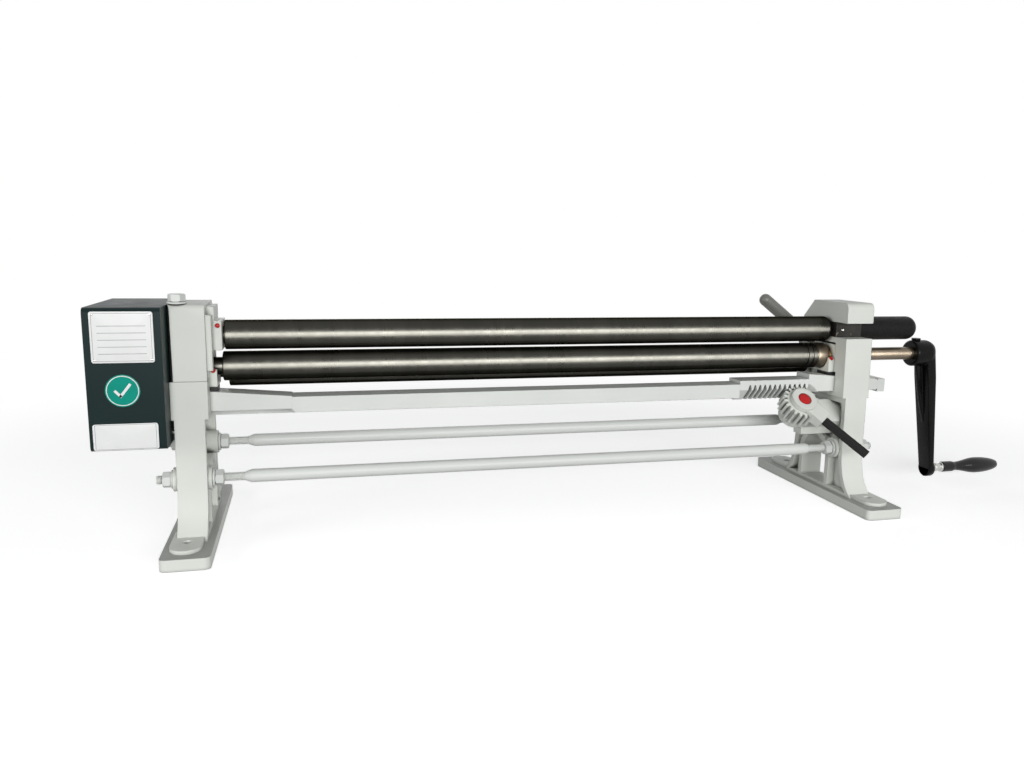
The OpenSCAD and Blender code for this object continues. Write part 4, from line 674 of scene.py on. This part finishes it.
class SLIPROLL_OT_handles(Operator):
    """Shape the slip handle, the crank's grip and the nut and sleeve beside the grip"""
    bl_idname = "sliproll.handles"
    bl_label = "Handles"

    def execute(self, context):
        sleeve = [(0.5065, 0), (0.5065, 0.007), (0.5175, 0.007), (0.5175, 0.0172),
                  *arc(0.5193, 0.0172, 0.0018, 180, 90, 6),
                  *arc(0.6165, 0.005, 0.014, 90, 0, 14), (0.6305, 0)]
        piece("slip_handle_sleeve", [turned(sleeve, TOP_ROLL)], "swivel_head",
              FINISHES["sleeve"], ("slip_handle",))
        piece("crank_grip_turned", [turned(grip_profile(), GRIP)], "crank_grip",
              FINISHES["plastic"], ("crank_grip",))
        ring = [(0.7012, 0), (0.7012, 0.0066), (0.7022, 0.0074), (0.7042, 0.0076),
                (0.7052, 0.0066), (0.7068, 0.0064), (0.7125, 0.0064), (0.7135, 0.0080),
                (0.7140, 0.0084), (0.7156, 0.0084), (0.7162, 0.0078), (0.7162, 0)]
        small_flats = 0.0145
        nut = hexagon(0.6935, 0.7012, small_flats, GRIP)
        piece("ferrule_and_nut", [nut, turned(ring, GRIP, around=64)], "lower_roll",
              FINISHES["bright"], ("grip_ferrule",), crease=FERRULE_CREASE)
        return {"FINISHED"}


THROW = 0.2                             # from the hub's axis down to the grip's
HUB_R, BOSS_R = 0.0215, 0.0145          # round of the crank at its two ends
CORNER_R = 0.012                        # rounding of the hub's outer edge
CORNER_X, CORNER_Z = 0.658, 0.0095      # and its centre, from the middle and from the axis


def crank_arm(edge):
    """Arm of the crank, a loft of rounded rectangles from top to bottom. Both faces lean out
    and the width falls in proportion to the depth. The outer face turns over the top on a
    circle, and the half width follows a circle about the hub's axis above it and one about the
    grip's axis below that. The corners are softer near the hub."""
    top, inner_x, outer_x = 0.0212, 0.652, 0.67
    inner_lean, outer_lean = 0.0305, 0.0215
    half_width, taper, round_share = 0.019, 0.0045, 0.884
    top_soft, tiny = 0.004, 1e-8
    z = np.concatenate([top - top * np.linspace(0, 1, 10) ** 2, -np.linspace(0.006, THROW, 34),
                        -THROW - BOSS_R * np.sin(np.linspace(0.1, 1.48, 9))])
    share = np.clip(-z / THROW, 0, 1)
    over = np.clip(z - CORNER_Z, 0, CORNER_R)
    outer = np.where(z > CORNER_Z, CORNER_X + np.sqrt(CORNER_R ** 2 - over ** 2),
                     outer_x + outer_lean * share)
    inner = inner_x + inner_lean * share
    above = np.sqrt(np.maximum(HUB_R ** 2 - z ** 2, tiny)) * round_share
    below = np.sqrt(np.maximum(BOSS_R ** 2 - (z + THROW) ** 2, tiny))
    wide = np.select([z > 0, z < -THROW], [above, below], half_width - taper * share)
    soft = edge + top_soft * np.clip(1 - share * 5, 0, 1)
    rings, middles = [], []
    for height, a, b, half, r in zip(LOWER_Z + z, inner, outer, wide, soft):
        k = loop(a, b, ROLL_Y - half, ROLL_Y + half, min(r, half * 0.9, (b - a) * 0.45))
        rings.append(np.concatenate([k, np.full((len(k), 1), height)], 1))
        middles.append(((a + b) / 2, ROLL_Y, height))
    return lofted(middles, rings)


def crank_web():
    """Web on the arm's inner side: an outline of (X, Z), carried through its thickness and
    shrunk about its middle towards both faces."""
    web = np.array([(0.661, 0.2325), (0.643, 0.2235), (0.6445, 0.2120), (0.6485, 0.1960),
                    (0.6540, 0.1700), (0.6620, 0.1380), (0.6703, 0.1125), (0.686, 0.1125)])
    centre = web.mean(0)
    half = ((0.001, 1.0), (0.002, 0.99), (0.0027, 0.965), (0.003, 0.93))
    sections = [(-y, f) for y, f in reversed(half)] + list(half)
    rings = [np.insert(centre + (web - centre) * f, 1, ROLL_Y + y, 1) for y, f in sections]
    ends = [(centre[0], ROLL_Y + y, centre[1]) for y in (sections[0][0], sections[-1][0])]
    return lofted(ends, rings)


class SLIPROLL_OT_crank(Operator):
    """Cast the crank: a hub with a round corner, a leaning arm, its web and the grip's boss"""
    bl_idname = "sliproll.crank"
    bl_label = "Crank"

    def execute(self, context):
        hub = [(0.631, 0), (0.631, 0.0180), *arc(0.6345, 0.0180, 0.0035, 180, 90, 6),
               *arc(CORNER_X, CORNER_Z, CORNER_R, 90, 0, 12), (0.67, 0)]
        boss = [(0.6825, 0), (0.6825, 0.0130), *arc(0.6840, 0.0130, 0.0015, 180, 90, 4),
                *arc(0.6920, 0.0130, 0.0015, 90, 0, 4), (0.6935, 0)]
        shells = [turned(hub, LOWER_ROLL), crank_arm(context.scene.sliproll_sizes.arm_round),
                  crank_web(), turned(boss, GRIP, around=64)]
        piece("crank_arm_cast", shells, "lower_roll", FINISHES["iron"],
              ("crank_arm",), crease=CAST_CREASE)
        return {"FINISHED"}


class SLIPROLL_OT_plates(Operator):
    """Set the bare plates with their rivets, and the round sticker, on the gear cover"""
    bl_idname = "sliproll.plates"
    bl_label = "Plates and sticker"

    def execute(self, context):
        sizes = context.scene.sliproll_sizes
        front, back = COVER_Y - sizes.plate_t, COVER_Y + 0.0004
        corner_r, edge, border = 0.003, 0.0002, 0.93
        ink, border_width, rule_width = (front - 0.00006, front + 0.0001), 0.0005, 0.0007
        rule_x0, rule_x1, rule_z, rule_step = -0.589, -0.534, 0.2625, 0.0085
        plates, rules = [], []
        for x0, x1, z0, z1 in ((-0.597, -0.5255, 0.2515, 0.314), (-0.601, -0.526, 0.143, 0.176)):
            plates.append(slab((z0, z1), (x0, x1), (front, back), corner_r, edge, "Y"))
            corners = np.array([(x0, z0), (x1, z0), (x1, z1), (x0, z1)])
            corners = corners.mean(0) + (corners - corners.mean(0)) * border
            rules += [strip(p, q, border_width, *ink)
                      for p, q in zip(corners, np.roll(corners, -1, 0))]
        rules += [strip((rule_x0, z), (rule_x1, z), rule_width, *ink)
                  for z in rule_z + rule_step * np.arange(5)]
        dome = [(0, 0), (0, 0.0017), (0.0003, 0.0016), (0.0006, 0.0012), (0.0008, 0.0006),
                (0.00085, 0)]
        rivets = [turned(dome, (x, front, z), FORWARD, 24)
                  for z in (0.255, 0.3105) for x in (-0.5935, -0.529)]
        for name, shells, look in (("cover_plates", plates, "plate"),
                                   ("plate_rules", rules, "rule"),
                                   ("plate_rivets", rivets, "bright")):
            piece(name, shells, "machine_frame", FINISHES[look])
        r = sizes.sticker_r
        disc = [(-0.0004, 0), (-0.0004, r), (0.0002, r), (0.0003, r - 0.0002), (0.0003, 0)]
        rim = [(0.0001, 0), (0.0001, r - 0.0012), (0.00036, r - 0.0013), (0.00036, 0)]
        inside = [(0.0001, 0), (0.0001, r - 0.0022), (0.00042, r - 0.0023), (0.00042, 0)]
        face = COVER_Y - 0.00042
        middle = np.array([STICKER[0], STICKER[2]])
        strokes = r * np.array([[(-0.46, 0.02), (-0.08, -0.38)], [(-0.165, -0.40), (0.46, 0.42)]])
        tick = [strip(middle + p, middle + q, 0.16 * r, face - 0.00008, face + 0.0001)
                for p, q in strokes]
        piece("round_sticker", [turned(k, STICKER, FORWARD) for k in (disc, inside)],
              "machine_frame", FINISHES["sticker"])
        piece("sticker_marks", [turned(rim, STICKER, FORWARD), *tick], "machine_frame",
              FINISHES["plate"])
        return {"FINISHED"}


class SLIPROLL_OT_plugs(Operator):
    """Dome the red cap of the lever and the oil plugs"""
    bl_idname = "sliproll.plugs"
    bl_label = "Cap and plugs"

    def execute(self, context):
        red, slot = FINISHES["plug"], "plug_red"
        cap = [(0.0186, 0), (0.0186, 0.0097), (0.0205, 0.0098), (0.0213, 0.0094),
               (0.0219, 0.0082), (0.0223, 0.006), (0.0225, 0.003), (0.02255, 0)]
        piece("lever_cap_domed", [turned(cap, LEVER_STUD, FRONT_UP, 64)], "machine_frame",
              red, ("lever_cap",))
        plug = [(-0.003, 0), (-0.003, 0.003), (0.0006, 0.003), (0.0013, 0.0027),
                (0.0018, 0.0018), (0.002, 0.0008), (0.002, 0)]
        piece("oil_plugs_domed", [turned(plug, at, FRONT_UP, 32) for at in BLOCK_PLUGS],
              "lower_carriage", red, ("oil_plugs",))
        piece("head_plug_domed", [turned(plug, HEAD_PLUG, FORWARD, 32)], "swivel_head",
              red, ("head_oil_plug",))
        return {"FINISHED"}


# stage

FLOOR_Z, FLOOR_SIZE = -0.0005, 30
FLOOR_SHADE, FLOOR_WHITE, FLOOR_LIFT = 0.3, 0.86, 0.62
FLOOR_NEAR, FLOOR_FAR = 0.75, 1.5
FILL_COLOUR, FILL_STRENGTH = (0.95, 0.98, 1.0, 1), 0.14
MIDDLE = (0, 0, 0.2)
LAMPS = (   # name, place, target, width and height, power
    ("front_softbox", (0.2, -2.65, 0.66), MIDDLE, (2.6, 0.5), 63),
    ("left_softbox", (-2.4, -0.9, 0.60), MIDDLE, (1.2, 1.0), 17),
    ("rear_softbox", (0.4, 2.7, 0.9), MIDDLE, (2.4, 0.8), 12),
    ("roll_panel", (0.0, -0.95, 0.31), (0, 0, 0.31), (2.4, 0.60), 74),
)
PANEL_LIT = ("top_roll_turned", "lower_roll_turned", "lower_roll_end")
CAMERA_PLACE = (-0.340532, -1.181347, 0.401373)
CAMERA_TURN = ((0.971294, 0.024816, -0.236585), (-0.237359, 0.167085, -0.956945),
               (0.015782, 0.985630, 0.168179))


class SLIPROLL_OT_stage(Operator):
    """Set the floor, the lamps and the camera"""
    bl_idname = "sliproll.stage"
    bl_label = "Stage"

    def execute(self, context):
        scene = context.scene
        scene.view_settings.view_transform = "Standard"
        bpy.ops.mesh.primitive_grid_add(x_subdivisions=2, y_subdivisions=2, size=FLOOR_SIZE,
                                        location=(0, 0, FLOOR_Z))
        floor = context.object
        floor.name = "studio_floor"
        floor.data.materials.append(floor_finish())
        lamps = {row[0]: lamp(scene, *row) for row in LAMPS}
        receivers = bpy.data.collections.new("roll_panel_receivers")
        for name in PANEL_LIT:
            receivers.objects.link(bpy.data.objects[name])
        lamps["roll_panel"].light_linking.receiver_collection = receivers
        world(scene)
        camera(scene)
        return {"FINISHED"}


def lamp(scene, name, at, target, size, power):
    """Rectangular area lamp at a place, facing its target."""
    data = bpy.data.lights.new(name, "AREA")
    data.shape = "RECTANGLE"
    data.size, data.size_y = size
    data.energy = power
    obj = bpy.data.objects.new(name, data)
    scene.collection.objects.link(obj)
    obj.location = at
    obj.rotation_euler = (Vector(target) - Vector(at)).to_track_quat("-Z", "Y").to_euler()
    return obj


def floor_finish():
    """Pale floor: lit diffuse near the machine, so that the shadow shows, with a lift for what
    sees it, and plain white far away."""
    material = bpy.data.materials.new("studio_floor")
    material.use_nodes = True
    tree = material.node_tree
    tree.nodes.clear()
    sight = seen(tree)
    albedo = mapped(tree, sight, 0.0, 1.0, FLOOR_SHADE, FLOOR_WHITE)
    diffuse = add(tree, "BsdfDiffuse", {"Color": albedo})
    glow = add(tree, "Emission", {"Strength": maths(tree, "MULTIPLY", sight, FLOOR_LIFT)})
    lit = add(tree, "AddShader", {0: diffuse.outputs[0], 1: glow.outputs[0]})
    white = add(tree, "Emission", {"Strength": sight})
    coord = add(tree, "TexCoord").outputs["Object"]
    away = add(tree, "VectorMath", {0: coord}, operation="LENGTH").outputs["Value"]
    far = mapped(tree, away, FLOOR_NEAR, FLOOR_FAR, 0.0, 1.0, interpolation_type="SMOOTHSTEP")
    both = add(tree, "MixShader", {"Fac": far, 1: lit.outputs[0], 2: white.outputs[0]})
    add(tree, "OutputMaterial", {"Surface": both.outputs[0]})
    return material


def world(scene):
    """White where the camera, a reflection or a refraction looks, and a soft grey fill
    elsewhere."""
    data = bpy.data.worlds.new("studio")
    scene.world = data
    data.use_nodes = True
    tree = data.node_tree
    tree.nodes.clear()
    fill = add(tree, "Background", {"Color": FILL_COLOUR, "Strength": FILL_STRENGTH})
    white = add(tree, "Background", {"Color": (*WHITE, 1)})
    both = add(tree, "MixShader", {"Fac": seen(tree), 1: fill.outputs[0], 2: white.outputs[0]})
    add(tree, "OutputWorld", {"Surface": both.outputs[0]})


def camera(scene):
    """Camera solved from the photograph's edges."""
    data = bpy.data.cameras.new("photo_camera")
    data.sensor_width = 36.0
    data.lens = 28.927
    data.shift_x = 0.00051
    data.shift_y = 0.00043
    obj = bpy.data.objects.new("photo_camera", data)
    scene.collection.objects.link(obj)
    obj.matrix_world = Matrix.Translation(CAMERA_PLACE) @ Matrix(CAMERA_TURN).to_4x4()
    scene.camera = obj


class SLIPROLL_PT_panel(Panel):
    """Sidebar panel with the machine's pieces"""
    bl_idname = "SLIPROLL_PT_panel"
    bl_label = "Slip roll"
    bl_space_type = "VIEW_3D"
    bl_region_type = "UI"
    bl_category = "Slip roll"

    def draw(self, context):
        for operator in PIECES:
            self.layout.operator(operator.bl_idname)
        for group in (context.scene.sliproll_colours, context.scene.sliproll_sizes):
            for key in group.__annotations__:
                self.layout.prop(group, key)


PIECES = (SLIPROLL_OT_finishes, SLIPROLL_OT_rolls, SLIPROLL_OT_rods, SLIPROLL_OT_handles,
          SLIPROLL_OT_crank, SLIPROLL_OT_plates, SLIPROLL_OT_plugs, SLIPROLL_OT_stage)
CLASSES = (SlipRollColours, SlipRollSizes, *PIECES, SLIPROLL_PT_panel)


def register():
    """Registers the classes and their settings."""
    for item in CLASSES:
        bpy.utils.register_class(item)
    bpy.types.Scene.sliproll_colours = PointerProperty(type=SlipRollColours)
    bpy.types.Scene.sliproll_sizes = PointerProperty(type=SlipRollSizes)


def unregister():
    """Takes the settings and the classes away again."""
    del bpy.types.Scene.sliproll_sizes
    del bpy.types.Scene.sliproll_colours
    for item in reversed(CLASSES):
        bpy.utils.unregister_class(item)


def main():
    """Builds everything in order."""
    register()
    for operator in PIECES:
        group, name = operator.bl_idname.split(".")
        getattr(getattr(bpy.ops, group), name)()


if __name__ == "__main__":
    main()
